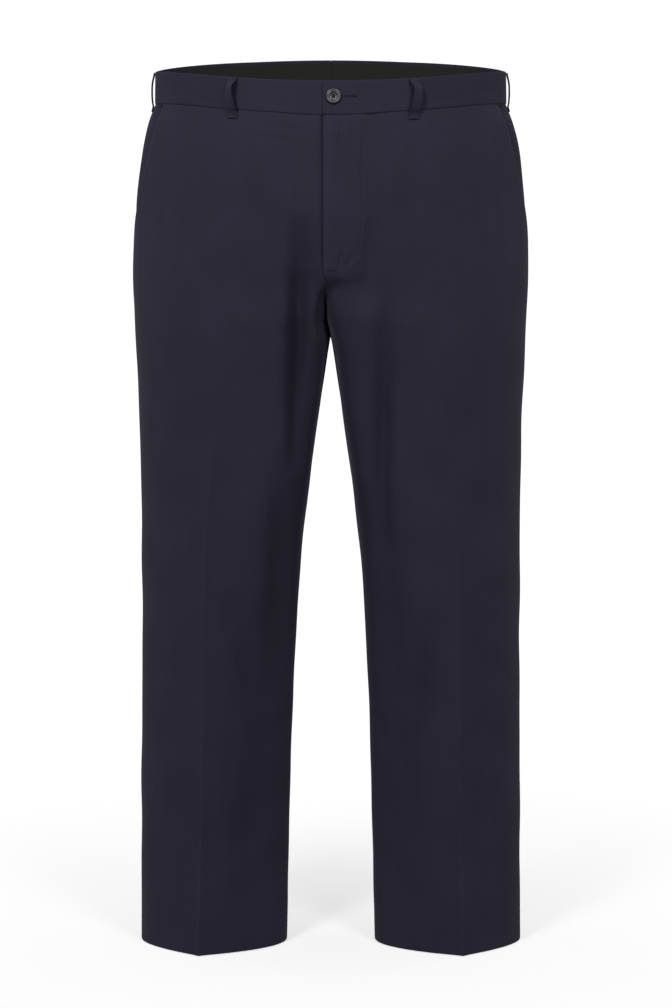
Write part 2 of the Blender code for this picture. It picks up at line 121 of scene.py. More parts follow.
BAND_RAISE = 0.5          # the band stands this far over the panels
SEAM_RISE = 2.0           # and is this much narrower in front, beside its ends
FACING_WALL = 1.0
FACING_DROP = 3.5
LINING_TUCK = 2.5         # the lining reaches past the band's seam and covers it from inside
OVERLAP_LIFT = 1.9
UNDERLAP_SINK = 1.2

POCKET_TOP_X = 206.0
POCKET_END = -225.0
POCKET_CURVE = 2.6
POCKET_RECESS = 3.8
POCKET_TUCK = 0.03        # the facing goes this far behind the edge, in s
POCKET_STITCHES = 0.012   # the row of stitches is this far inside it, in s
POCKET_GAPE = {1: 3.4, -1: 2.4}           # how far each edge stands open

LOOP_WIDTH = 12.8
LOOP_WALL = 1.4
LOOP_SEAT = 0.35
LOOP_STITCHES = 2.0       # the rows of stitches are this far inside a loop's edges
STITCH_TOP = -46.0        # rows on the panels start just below the band

BUTTON_RADIUS = 9.0
BUTTON_X = 3.5
BUTTON_LEVEL = -18.9
# The button's turned profile: radius and height as shares of its radius.
BUTTON_PROFILE = (
    (0.00, 0.03), (0.40, 0.00), (0.80, 0.00), (0.93, 0.04), (0.99, 0.12), (1.00, 0.20),
    (0.98, 0.28), (0.93, 0.34), (0.86, 0.365), (0.79, 0.35), (0.74, 0.31), (0.71, 0.285),
    (0.68, 0.30), (0.64, 0.31), (0.59, 0.29), (0.53, 0.22), (0.47, 0.14), (0.41, 0.105),
    (0.20, 0.10), (0.00, 0.10),
)
BUTTON_HOLE_RADIUS = 0.9
BUTTON_HOLE_SPACING = 1.75

# The stage, in metres and degrees.
FLOOR_GAP = 0.0015
FLOOR_REACH = 1.7         # the floor fades into the white surround at this radius
CAMERA_PITCH = 6.4738
CAMERA_X, CAMERA_Z = 0.0066, -0.200
WHITE = (1, 1, 1, 1)

Section = namedtuple("Section", (
    "level side_x side_y side_front side_back front_x front_y front_in front_out "
    "back_x back_y back_in back_out mid_front mid_back inner_round"))
SECTIONS = [Section(*row) for row in (
    (-1105, 245.0, -2, .25, .34, 167, -81, -15, 30, 160, 76, -14, 27, -116, 150, .30),
    (-850, 242.3, 0, .33, .35, 160, -82, -13, 27, 156, 80, -13, 24, -116, 150, .31),
    (-690, 240.5, 2, .35, .36, 158, -84, -11, 23, 152, 86, -11, 21, -116, 150, .38),
    (-575, 240.4, 5, .36, .37, 154, -88, -10, 20, 148, 92, -10, 18, -116, 150, .52),
    (-460, 241.6, 8, .37, .37, 143, -94, -8, 15, 140, 102, -8, 13, -116, 150, .67),
    (-383, 243.8, 10, .38, .38, 133, -100, -5, 9, 132, 111, -6, 9, -116, 150, .76),
    (-330, 245.7, 11, .38, .38, 127, -105, -1, 6, 127, 120, -3, 8, -116, 150, .79),
    (-300, 246.9, 11, .38, .38, 125, -107, 3, 9, 124, 125, 2, 12, -116, 150, .79),
    (-255, 248.6, 10, .38, .38, 121, -108, 7, 13, 120, 130, 8, 18, -116, 150, .72),
    (-200, 247.0, 9, .37, .37, 118, -109, 11, 17, 116, 132, 14, 22, -119, 150, .39),
    (-140, 241.1, 7, .35, .36, 116, -108, 14, 19, 114, 128, 17, 22, -122, 148, .39),
    (-95, 234.9, 5, .33, .34, 115, -106, 15, 19, 113, 122, 18, 22, -121, 142, .39),
    (-62, 226.7, 3, .31, .32, 114, -103, 16, 19, 112, 117, 18, 20, -119, 137, .39),
    (-50, 222.0, 1, .30, .31, 113, -101, 17, 19, 112, 114, 18, 19, -117, 135, .39),
    (-40, 218.2, 0, .30, .30, 113, -99, 17, 19, 112, 112, 18, 18, -115, 134, .39),
    (0, 217.5, 0, .30, .30, 112, -96, 17, 19, 112, 107, 17, 17, -112, 130, .39),
)]

Inseam = namedtuple("Inseam", "level x y")
INSEAM = [Inseam(*row) for row in (
    (-1105, 56.5, -4),
    (-950, 53.1, -2),
    (-793, 48.6, 0),
    (-690, 43.4, 2),
    (-612, 38.0, 4),
    (-535, 29.8, 7),
    (-484, 23.1, 9),
    (-434, 16.3, 11),
    (-383, 9.0, 13),
    (-339, 2.0, 15),
    (CROTCH, 0.2, 15),
)]

# Soft folds, hollows first: each runs between two points seen from its own side of the
# garment, x to the wearer's left. A negative depth is a ridge.
Fold = namedtuple("Fold", "face x_top top x_bottom bottom depth half_width")


def on_faces(**rows_by_face):
    return [Fold(face, *row) for face, rows in rows_by_face.items() for row in rows]


FOLDS = on_faces(front=(
    (-38, -168, -43, -500, 18.0, 11.5),
    (-20, -182, -36, -560, 9.0, 16),
    (-56, -455, -66, -800, 9.0, 19),
    (-90, -640, -88, -1085, 6.5, 30),
    (-134, -640, -84, -800, 3.0, 15),
    (-5, -262, -3, -372, 5.0, 6),
    (52, -172, 38, -300, 4.5, 12),
    (67, -262, 60, -610, 13.0, 11.0),
    (62, -480, 80, -800, 5.0, 20),
    (128, -660, 96, -860, 6.5, 16),
    (88, -700, 88, -1085, 6.0, 26),
    (-120, -820, -98, -1080, 2.5, 22),
), back=(
    (-40, -215, -70, -520, 8.0, 18),
    (42, -215, 66, -500, 8.0, 18),
    (-150, -420, -110, -760, 4.0, 26),
    (120, -560, 150, -860, 4.0, 26),
))
FOLD_FULL = 16.0          # a fold this deep has its full painted shade

# Shallower creases: uneven in length, depth and spacing.
CREASES = on_faces(front=(
    (-30, -205, -14, -290, 1.0, 6),
    (-58, -238, -22, -312, 1.2, 8),
    (-84, -290, -30, -352, 0.9, 9),
    (74, -240, 30, -318, 1.0, 8),
    (24, -300, 62, -372, 0.8, 8),
    (-14, -340, -20, -440, 1.6, 6),
    (16, -345, 22, -420, 1.2, 6),
    (40, -330, 38, -430, 1.8, 8),
    (150, -90, 128, -250, 0.9, 14),
    (-156, -100, -140, -230, 0.8, 15),
    (96, -128, 82, -214, 0.8, 12),
    (-92, -116, -80, -240, 0.9, 13),
    (178, -380, 150, -520, 0.9, 16),
    (-186, -420, -160, -560, 0.9, 15),
    (118, -470, 88, -560, 1.0, 12),
    (-96, -600, -128, -700, 1.0, 14),
    (190, -700, 176, -860, 0.9, 16),
    (92, -820, 112, -960, 0.9, 14),
    (-176, -760, -190, -930, 0.9, 15),
    (-84, -860, -104, -1010, 0.8, 13),
    # Puckers that fan out from the bottom of the fly's stitches, with ridges between them.
    (4, -216, 3, -240, 0.8, 1.8),
    (9, -212, 7, -238, -1.2, 1.9),
    (14, -216, 11, -239, 0.9, 2.0),
    (21, -214, 16, -237, -1.2, 2.0),
    (27, -218, 21, -236, 0.8, 2.0),
    (34, -226, 24, -240, -1.0, 2.2),
    (6, -250, 30, -256, -1.0, 2.6),
    (2, -258, 14, -272, 0.9, 3.0),
    (-14, -236, -22, -262, 1.0, 3.0),
    # Ripples that hang from the band's seam, and run along below it.
    (1, -44, 2, -82, 1.5, 2.2),
    (7, -44, 8, -70, -1.0, 2.0),
    (13, -44, 12, -92, 1.4, 2.4),
    (20, -44, 19, -72, -1.0, 2.2),
    (28, -44, 27, -84, 1.4, 2.6),
    (44, -44, 41, -92, 1.3, 3.0),
    (-18, -60, -86, -54, 0.8, 3.4),
    (-36, -71, -104, -66, 0.6, 3.6),
    (58, -58, 92, -56, 0.6, 3.4),
    (-128, -50, -150, -72, 0.8, 4.5),
    (116, -50, 138, -80, 0.8, 4.5),
    # Wrinkles along the band.
    (-150, -27, -196, -24, 0.6, 2.2),
    (-128, -33, -166, -31, 0.5, 1.8),
    (-62, -30, -104, -28, 0.5, 1.8),
    (-30, -12, -76, -9, 0.4, 1.8),
    (112, -31, 160, -29, 0.6, 2.2),
    (168, -26, 205, -23, 0.6, 2.2),
    # Drags beside the slanted pockets.
    (172, -50, 200, -150, 1.8, 4.5),
    (184, -96, 212, -230, 1.5, 5.0),
    (158, -110, 196, -260, 1.2, 7.0),
    (-176, -52, -196, -150, 1.2, 5.0),
    (-190, -110, -214, -240, 1.0, 6.0),
), back=(
    (30, -205, 74, -262, 1.4, 9),
    (-28, -216, -80, -280, 1.5, 9),
    (22, -268, 92, -318, 1.6, 10),
    (-20, -276, -96, -338, 1.6, 10),
    (20, -330, 70, -400, 1.2, 10),
    (-24, -338, -64, -410, 1.2, 10),
    (190, -620, 70, -652, 1.7, 10),
    (205, -664, 84, -690, 1.3, 9),
    (-196, -600, -80, -640, 1.6, 10),
    (-184, -668, -92, -700, 1.2, 9),
    (150, -120, 130, -210, 0.9, 14),
    (-140, -110, -126, -220, 0.9, 15),
    (170, -800, 150, -980, 0.9, 16),
    (-120, -820, -140, -960, 0.8, 15),
))

# The rows of every leg panel, from the waistband down: the levels at the centre edge and at
# the side that each run ends on, how many rows it has, and a power to crowd them at its end.
RowRun = namedtuple("RowRun", "edge_end side_end rows crowd")
ROW_RUNS = [RowRun(*row) for row in (
    (-46.0, -46.0, 6, 1.0),
    (-63.0, -63.0, 5, 1.0),
    (FLY_END + FLY_CORNER, -217.0, 60, 1.0),
    (FLY_END, -232.0, 6, 1.0),
    (FLY_END - FLY_FADE, -250.0, 6, 1.0),
    (CROTCH, -350.0, 34, 2.0),
    (-400.0, -410.0, 20, 1.0),
    (HEM + TURN_UP, HEM + TURN_UP, 170, 1.0),
    (HEM + 2.0, HEM + 2.0, 10, 1.0),
    (HEM, HEM, 2, 1.0),
)]

# A belt loop along its length: its stand-off from the band, and its shares of the loop's
# twist and of its sideways bow.
LoopRow = namedtuple("LoopRow", "level standoff twist bow")
LOOP_ROWS = [LoopRow(*row) for row in (
    (-49.6, 0.0, 0.00, 0.00),
    (-46.8, 0.2, 0.05, 0.00),
    (-43.5, 1.3, 0.16, 0.06),
    (-39.0, 3.4, 0.34, 0.18),
    (-33.0, 4.9, 0.55, 0.40),
    (-26.0, 5.6, 0.78, 0.70),
    (-19.0, 5.5, 0.97, 0.95),
    (-13.5, 4.6, 1.00, 1.00),
    (-8.5, 2.6, 0.72, 0.66),
    (-4.5, 0.7, 0.34, 0.22),
    (-1.2, 0.0, 0.10, 0.00),
)]

# Belt loops: face, x to the wearer's left, how far the edge nearer the middle turns away
# from the band in degrees, what share of the full stand-off it keeps, and its sideways bow.
Loop = namedtuple("Loop", "name face x turn free bow")
LOOPS = [Loop(*row) for row in (
    ("belt_loop_front_right", "front", -117.6, 40, 1.0, 0.4),
    ("belt_loop_front_left", "front", 99.8, 26, 1.0, 3.2),
    ("belt_loop_side_right", "side", -1, 0, 0.50, 0.0),
    ("belt_loop_side_left", "side", 1, 0, 0.50, 0.0),
    ("belt_loop_back_right", "back", -76.0, 16, 1.0, 1.2),
    ("belt_loop_back_left", "back", 76.0, 20, 1.0, 0.8),
    ("belt_loop_centre", "back", 0.0, 6, 1.0, 0.5),
)]


# ------------ the surface

def ease(value, start, end):
    """Go smoothly from 0 at start to 1 at end."""
    t = np.clip((np.asarray(value, float) - start) / (end - start), 0.0, 1.0)
    return t * t * (3.0 - 2.0 * t)


def between(rows):
    """Return a function that reads the rows' columns at any levels, with no overshoot."""
    kind = type(rows[0])
    table = np.array(rows, float)
    levels = table[:, 0]
    steps = np.diff(table, axis=0) / np.diff(levels)[:, None]
    low, high = steps[:-1], steps[1:]
    same = low * high > 0
    inner = np.where(same, 2 * low * high / np.where(same, low + high, 1), 0)
    slopes = np.vstack((steps[:1], inner, steps[-1:]))

    def read(level):
        level = np.clip(level, levels[0], levels[-1])
        k = np.clip(np.searchsorted(levels, level, side="right") - 1, 0, len(levels) - 2)
        span = (levels[k + 1] - levels[k])[..., None]
        t = (level - levels[k])[..., None] / span
        rise = t * t * (3 - 2 * t)
        bend = t * (1 - t) * (slopes[k] * (1 - t) - slopes[k + 1] * t) * span
        return kind(*np.moveaxis(table[k] + (table[k + 1] - table[k]) * rise + bend, -1, 0))

    return read


section_at = between(SECTIONS)
inseam_at = between(INSEAM)
loop_at = between(LOOP_ROWS)


def fork(level, rise):
    """How far an arc has gone from a leg's to the body's, in x and in y.

    Depth comes before width, so a narrow cleft stays between the tops of the legs.
    """
    t = np.clip((level - CROTCH) / (0.75 * rise), 0.0, 1.0)
    deep = t ** 3 * (10 - 15 * t + 6 * t * t)
    return np.stack((deep ** 3, deep), -1)[..., None, :]


def fork_cut(level, rise):
    """The share of an arc that is cut off at its seam end: it rounds the seam's fork."""
    share = np.clip((level - CROTCH) / rise, 0.0, 1.0)
    return 0.55 * np.sqrt(share) * (1 - share)


def arc(start, leave, out, end, arrive, back):
    """Four Bezier points: directions in degrees, handle lengths as shares of the chord."""
    (x0, y0), (x1, y1) = start, end
    chord = np.hypot(x1 - x0, y1 - y0)
    leave, arrive = np.radians(leave), np.radians(arrive)
    xs = (x0, x0 + np.cos(leave) * chord * out, x1 - np.cos(arrive) * chord * back, x1)
    ys = (y0, y0 + np.sin(leave) * chord * out, y1 - np.sin(arrive) * chord * back, y1)
    shape = np.shape(chord)
    return np.stack([np.stack([np.broadcast_to(v, shape) for v in c], -1) for c in (xs, ys)],
                    -1)


def arcs(level):
    """The four Bezier arcs of the outline at each level."""
    row = section_at(level)
    inseam = inseam_at(level)
    edge = (inseam.x, inseam.y)
    front = (row.front_x, row.front_y)
    side = (row.side_x, row.side_y)
    back = (row.back_x, row.back_y)
    full = row.inner_round
    near = np.minimum(ROUND + 1.2 * (full - 0.34), 0.73)
    leg_front = arc(edge, -90, full, front, row.front_in, near)
    leg_back = arc(back, 180 - row.back_in, near, edge, 270, full)
    body_front = arc((0, row.mid_front), 0, ROUND, front, row.front_in, ROUND)
    body_back = arc(back, 180 - row.back_in, ROUND, (0, row.mid_back), 180, ROUND)
    return np.stack((
        leg_front + (body_front - leg_front) * fork(level, FRONT_FORK_RISE),
        arc(front, row.front_out, ROUND, side, 90, row.side_front),
        arc(side, 90, row.side_back, back, 180 - row.back_out, ROUND),
        leg_back + (body_back - leg_back) * fork(level, BACK_FORK_RISE)), -3)


def on_arc(points, t):
    weights = np.stack(((1 - t) ** 3, 3 * t * (1 - t) ** 2, 3 * t * t * (1 - t), t ** 3), -1)
    return np.moveaxis((weights[..., None] * points).sum(-2), -1, 0)


def outline(s, level):
    """The outline's x and y at s. Past its ends it goes on round the leg, or past the middle."""
    s, level = np.broadcast_arrays(np.asarray(s, float), np.asarray(level, float))
    past = (s < 0) | (s > 1)
    mirrored = past & (level > CROTCH)
    s = np.where(mirrored, np.where(s < 0, -s, 2 - s), np.where(past, s % 1.0, s))
    k = np.minimum((s * 4).astype(int), 3)
    points = np.take_along_axis(arcs(level), k[..., None, None, None], axis=-3)[..., 0, :, :]
    cut_front = np.where(k == 0, fork_cut(level, FRONT_FORK_RISE), 0.0)
    cut_back = np.where(k == 3, fork_cut(level, BACK_FORK_RISE), 0.0)
    t = cut_front + (s * 4 - k) * (1 - cut_front - cut_back)
    x, y = on_arc(points, t)
    seam_x = on_arc(points, np.where(k == 3, 1 - cut_back, cut_front))[0]
    crease_x = np.where(k == 3, points[..., 0, 0], points[..., 3, 0])
    edge_x = np.where(k == 3, points[..., 3, 0], points[..., 0, 0])
    closed = edge_x + (x - seam_x) * (crease_x - edge_x) / (crease_x - seam_x)
    x = np.where((k == 0) | (k == 3), closed, x)
    return np.where(mirrored, -x, x), y


def surface(s, level):
    """The points of the cloth's outer face, before folds."""
    s, level = np.broadcast_arrays(np.asarray(s, float), np.asarray(level, float))
    x, y = outline(s, level)
    rise = np.where(y < 0, -RIM_DIP * (y / WAIST_FRONT) ** 2,
                    RIM_RISE * (np.maximum(y, 0) / WAIST_BACK) ** 1.08)
    # The band's seam rises in front, away from the fly, and less so at the sides.
    narrower = ease(np.abs(x), 25, 75) * (1 - 0.6 * ease(np.abs(x), 185, 212)) * (y < 0)
    narrower = narrower * np.exp(-((level + BAND_HEIGHT) / 13.0) ** 2)
    tilt = rise * (1 - ease(level, -BAND_HEIGHT, TILT_END))
    return np.stack((x, y, level + tilt + SEAM_RISE * narrower), -1)


def unit(vectors):
    return vectors / np.linalg.norm(vectors, axis=-1, keepdims=True)


def tangent_and_normal(s, level, reach=0.012):
    """The unit direction along the outline, and the unit direction out of the cloth."""
    level = np.asarray(level, float)
    low = np.where(level > CROTCH, level, level - 1.0)
    along = unit(surface(s + reach, level) - surface(s - reach, level))
    up = surface(s, low + 1.0) - surface(s, low)
    return along, unit(np.cross(along, up))


def s_at_x(x, level, face="front"):
    """Find s where the front or back of the outline is at x."""
    x, level = np.broadcast_arrays(np.asarray(x, float), np.asarray(level, float))
    low = np.full(x.shape, 0.0 if face == "front" else 1.0)
    high = np.full(x.shape, 0.5)
    for _ in range(28):
        middle = (low + high) / 2
        short = outline(middle, level)[0] < np.abs(x)
        low, high = np.where(short, middle, low), np.where(short, high, middle)
    return np.where(x < 0, -low if face == "front" else 2 - low, low)


def fold_depth(folds, x, s, level):
    """How far the folds push the cloth in at x (wearer's left positive).

    A soft fold is read row by row, and a crease across its own line.
    """
    depth = np.zeros(np.shape(x))
    for fold in folds:
        on_face = 1 - ease(s, 0.42, 0.5) if fold.face == "front" else ease(s, 0.5, 0.58)
        run, drop = fold.x_bottom - fold.x_top, fold.bottom - fold.top
        beside, below = x - fold.x_top, level - fold.top
        if folds is FOLDS:
            share = below / drop
            across = beside - run * share
        else:
            length = math.hypot(run, drop)
            share = (beside * run + below * drop) / length ** 2
            across = (beside * drop - below * run) / length
        along = np.sin(math.pi * np.clip(share, 0, 1))
        depth += fold.depth * on_face * np.exp(-(across / fold.half_width) ** 2) * along
    return depth


def ripple(x, y, z):
    """A slow, slight unevenness of worn cloth, from -1 to 1."""
    return (np.sin(x / 23 + z / 61 + 1.3) * np.sin(z / 37 - y / 45 + 0.4)
            + 0.6 * np.sin(x / 13 - z / 29 + 2.1) * np.sin(z / 83 + y / 17)
            + 0.4 * np.sin(z / 15 + x / 31 + y / 21)) / 2.0


def beside_fork(x, level):
    """0 where the tops of the legs touch, so that nothing parts them, and 1 elsewhere."""
    near = ease(level, CROTCH - 70.0, CROTCH - 25.0)
    near = near * (1 - ease(level, CROTCH + 60.0, CROTCH + 85.0))
    return 1 - near * (1 - ease(np.abs(x), 2.0, 9.0))


def off_outline(out):
    """0 where the cloth turns away from the front, so that the outline stays, and 1 facing it."""
    return ease(np.abs(out[..., 1]), 0.05, 0.6)


def in_fold(side, s, level):
    """How deep each point lies in the soft folds, from 0 to 1: the amount of painted shade there.
    """
    depth = fold_depth(FOLDS, side * surface(s, level)[..., 0], s, level)
    return np.clip(depth / FOLD_FULL, 0, 1) * off_outline(tangent_and_normal(s, level)[1])


def cloth_points(side, s, level, height, nudge=0.0):
    """Points at a height over the surface, on the wearer's left (1) or right (-1)."""
    along, out = tangent_and_normal(s, level)
    base = surface(s, level)
    x = side * base[..., 0]
    sizes = bpy.context.scene.trousers_cloth
    depth = fold_depth(FOLDS, x, s, level)
    depth += sizes.crease_strength * fold_depth(CREASES, x, s, level)
    depth *= off_outline(out)
    below_band = 1 - ease(level, -75.0, -BAND_HEIGHT)
    above_hem = ease(level, HEM, HEM + 90.0)
    wave = sizes.ripple * ripple(x, base[..., 1], level) * below_band * above_hem
    off = np.asarray(height - depth + wave * beside_fork(x, level), float)[..., None]
    points = (base + out * off + along * np.asarray(nudge, float)[..., None]) * (side, 1, 1)
    lean = ease(level, CROTCH - 6.0, CROTCH + 28.0) * (1 - ease(level, -278.0, -256.0))
    points[..., 0] += FORK_LEAN * lean * np.exp(-(x / 16.0) ** 2) * (np.asarray(s) < 0.25)
    return points


# ------------ building

def both_ends(count, strength=0.6):
    """Shares from 0 to 1 that crowd towards both ends."""
    t = np.linspace(0, 1, count + 1)
    return t - strength * np.sin(math.tau * t) / math.tau


def roll(distance, depth, width):
    """How far a turned edge drops within a width of it."""
    return -depth * np.clip(1 - np.abs(distance) / width, 0, 1) ** 2


def run_lengths(points, axis):
    """The distance along rows (axis 1) or columns (axis 0) of a grid of points."""
    steps = np.linalg.norm(np.diff(points, axis=axis), axis=-1)
    start = np.zeros_like(np.take(steps, [0], axis=axis))
    return np.concatenate((start, np.cumsum(steps, axis=axis)), axis=axis)


def put_in_scene(name, data):
    made = bpy.data.objects.new(name, data)
    bpy.context.scene.collection.objects.link(made)
    return made


def mesh_from(name, bm):
    mesh = bpy.data.meshes.new(name)
    bm.to_mesh(mesh)
    bm.free()
    return mesh


def add_piece(name, bm, look, sharp=40.0):
    """Turn a bmesh into a named, smooth-shaded piece."""
    bmesh.ops.recalc_face_normals(bm, faces=bm.faces)
    if bm.calc_volume(signed=True) < 0:
        bmesh.ops.reverse_faces(bm, faces=bm.faces)
    mesh = mesh_from(name, bm)
    mesh.materials.append(look)
    mesh.shade_smooth()
    mesh.set_sharp_from_angle(angle=math.radians(sharp))
    made = put_in_scene(name, mesh)
    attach(made, "root")
    return made


def wall(name, outer, inner, look, painted_shading=None):
    """A closed cloth wall between two grids of points, with its weave laid along the grid.

    painted_shading is the shade painted on each point, from 0 to 1, deepest in the folds.
    It is below 0 on a pressed edge, where a highlight is painted.
    """
    rows, columns = outer.shape[0] - 1, outer.shape[1] - 1
    bm = bmesh.new()
    bmesh.ops.create_grid(bm, x_segments=columns, y_segments=rows, size=0.5)
    thick = bmesh.ops.extrude_face_region(bm, geom=bm.faces[:])
    lifted = [item for item in thick["geom"] if isinstance(item, bmesh.types.BMVert)]
    bmesh.ops.translate(bm, verts=lifted, vec=(0, 0, 1))
    across = run_lengths(outer, 1) * MM
    down = run_lengths(outer, 0) * MM
    uv = np.stack((across - across.mean(1, keepdims=True), -down), -1)
    layer = bm.loops.layers.uv.new("UVMap")
    # a layer for the painted shade and painted highlight of each point
    deep = bm.verts.layers.float.new("painted_shading")
    place = {}
    for vert in bm.verts:
        i = round((vert.co.x + 0.5) * columns)
        j = round((vert.co.y + 0.5) * rows)
        vert.co = (inner if vert.co.z > 0.5 else outer)[j, i] * MM
        place[vert] = uv[j, i]
        vert[deep] = 0.0 if painted_shading is None else painted_shading[j, i]
    for face in bm.faces:
        for loop in face.loops:
            loop[layer].uv = place[loop.vert]
    return add_piece(name, bm, look)


def panel_levels():
    """The levels of the panels' rows, at the centre edge and at the side."""
    start = -BAND_HEIGHT - SEAM_GAP / 2
    rows = [(start, start)]
    for run in ROW_RUNS:
        edge_start, side_start = rows[-1]
        for k in range(1, run.rows + 1):
            even = k / run.rows
            crowded = 1 - (1 - even) ** run.crowd
            rows.append((edge_start + (run.edge_end - edge_start) * crowded,
                         side_start + (run.side_end - side_start) * even))
    return np.array(rows)


PANEL_LEVELS = panel_levels()


def panel_level(s):
    """The levels of the rows at s: they fan out from the crotch to the side."""
    edge, side = PANEL_LEVELS[:, :1], PANEL_LEVELS[:, 1:]
    weight = np.maximum(0.0, 1 - np.minimum(np.abs(s), np.abs(1 - s)) / 0.25) ** 2
    return side + (edge - side) * weight


def fly_edge(level, half):
    """The x of a front's centre edge: 1 for the left front, -1 for the right front."""
    seam = -FLY_OVERLAP * ease(level, FLY_SEAM_END, FLY_END)
    if half < 0:
        seam = seam * (1 - ease(level, FLY_END, FLY_END + FLY_CORNER))
    return seam


def fly_lift(x, level):
    """The left front lies over the fly shield, and comes down beside and below it."""
    beside = 1 - ease(x, FLY_WIDTH, FLY_WIDTH + 12.0)
    return FLY_LIFT * beside * ease(level, FLY_END - FLY_FADE, FLY_END)


def pocket_edge(level):
    """The s of the front's slanted pocket edge, and of the side seam below it."""
    top = s_at_x(POCKET_TOP_X, -BAND_HEIGHT)
    share = np.clip((level + BAND_HEIGHT) / (POCKET_END + BAND_HEIGHT), 0.0, 1.0)
    return top + (SIDE_SEAM - top) * share ** POCKET_CURVE


def path_through(points, step):
    """Evenly spaced points on a smooth curve through a path's points."""
    knots = np.array(points, float)
    reach = run_lengths(knots, 0)
    slopes = np.gradient(knots, reach, axis=0)
    at = np.linspace(0, reach[-1], max(2, round(reach[-1] / step) + 1))
    k = np.clip(np.searchsorted(reach, at, side="right") - 1, 0, len(reach) - 2)
    span = (reach[k + 1] - reach[k])[:, None]
    t = (at - reach[k])[:, None] / span
    return (knots[k] * (1 + 2 * t) * (1 - t) ** 2 + knots[k + 1] * t * t * (3 - 2 * t)
            + slopes[k] * span * t * (1 - t) ** 2 - slopes[k + 1] * span * t * t * (1 - t))


def groove(x, level, path, depth, half_width):
    """A narrow furrow along a path of (x, level) points."""
    line = path_through(path, 2.0)
    nearest = np.full(np.shape(x), np.inf)
    for px, pl in line:
        nearest = np.minimum(nearest, (x - px) ** 2 + (level - pl) ** 2)
    return -depth * np.exp(-nearest / half_width ** 2)


def front_height(half, s, level):
    """The height of a front's outer face over the surface."""
    x = surface(s, level)[..., 0]
    height = np.zeros(np.shape(x))
    if half > 0:
        height = fly_lift(x, level) + groove(x, level, FLY_STITCHES, *FLY_GROOVE)
    else:             # a narrow valley beside the fly, and a wider one near the band
        beside = np.exp(-((x - FLY_OVERLAP - 1.0) / 2.0) ** 2)
        beside = beside + 0.4 * np.exp(-((x - FLY_OVERLAP) / 8.0) ** 2) * ease(level, -115, -50)
        height = -FLY_VALLEY * beside * ease(level, FLY_END - FLY_FADE, FLY_END)
    return height + pocket_gape(half, s, level)


def pocket_gape(half, s, level):
    """The pocket's edge stands away from its facing, most in its upper half."""
    edge = pocket_edge(level)
    share = np.clip((level + BAND_HEIGHT) / (POCKET_END + BAND_HEIGHT), 0, 1)
    swell = np.sin(math.pi * share ** 0.65) * ease(share, 0.0, 0.12) * (1 - ease(share, 0.6, 0.9))
    return POCKET_GAPE[half] * swell * ease(s, edge - 0.06, edge - 0.004)


def evenly(start, level, shares):
    """The s at shares of the length from start to the front crease, for every row."""
    fine = start + (0.25 - start) * np.linspace(0, 1, 121)[None, :]
    reach = run_lengths(surface(fine, level), 1)
    return np.stack([np.interp(shares * row[-1], row, at) for row, at in zip(reach, fine)])


def front_columns(half):
    """The s of the columns between a front's centre edge and its crease, for every row."""
    level = PANEL_LEVELS[:, :1]
    start_x = half * fly_edge(level, half)
    start = np.where(level > CROTCH, s_at_x(start_x, np.maximum(level, CROTCH + 0.1)), 0.0)
    marks = [start + 0 * level] + [s_at_x(start_x + x, level) for x in (0.7, 2.0, 4.0)]
    steps = [*np.linspace(6.0, 32.0, 14), 34, 35.2, 36, 36.8, 37.6, 38.6, 40, 43, 47, 52]
    for x in steps:
        marks.append(s_at_x(np.maximum(x, start_x + 5.0 + x / 50), level))
    marks = np.concatenate(marks, 1)
    last = marks[:, -1:]
    tail = 1 - (1 - both_ends(36)[None, 1:]) ** 1.15
    marks = np.concatenate((marks, last + (0.25 - last) * tail), 1)
    even = evenly(start, level, both_ends(marks.shape[1] - 1, 0.35))
    weight = ease(level, CROTCH, FLY_END)
    return np.where(level <= CROTCH, even, even + (marks - even) * weight)


def crease_ridge(reach, crease_column, level, half, front):
    """A pressed crease: a ridge, sharper on its inner side, that fades out near the top."""
    away = reach - reach[:, crease_column:crease_column + 1]
    inner = away < 0 if front else away > 0
    top = CREASE_START[half]
    height = bpy.context.scene.trousers_cloth.crease_ridge
    return (height * np.exp(-np.abs(away) / np.where(inner, 6.0, 4.0))
            * ease(level, top + 20.0, top - CREASE_FADE))


def panel_depth():
    """The cloth is double inside the hem's turn-up."""
    doubled = PANEL_LEVELS[:, :1] < HEM + TURN_UP - 1.0
    return np.where(doubled, 2 * WALL, WALL)


def seam_nudge(s, first=0.0, last=-SEAM_GAP / 2):
    """How far a piece's first and last columns stay from their seams' middles."""
    nudge = np.zeros(s.shape)
    nudge[:, 0], nudge[:, -1] = first, last
    return nudge


def painted_highlight(half, front, reach, crease_column, level):
    """The painted highlight: how much lighter the cloth is painted along the crease and the fly's
    and pocket's turned edges.
    """
    away = reach - reach[:, crease_column:crease_column + 1]
    start = CREASE_START[half]
    highlight = 0.35 * np.exp(-away ** 2 / 4.0) * ease(level, start, start - CREASE_FADE)
    if front:
        to_end = reach[:, -1:] - reach
        highlight = highlight + 0.6 * np.exp(-(to_end / 3.0) ** 2) * (level > POCKET_END)
    if front and half > 0:
        highlight = highlight + 0.6 * np.exp(-((reach - 3.0) / 2.6) ** 2) * ease(level, FLY_HIGHLIGHT_END, FLY_END)
    return highlight


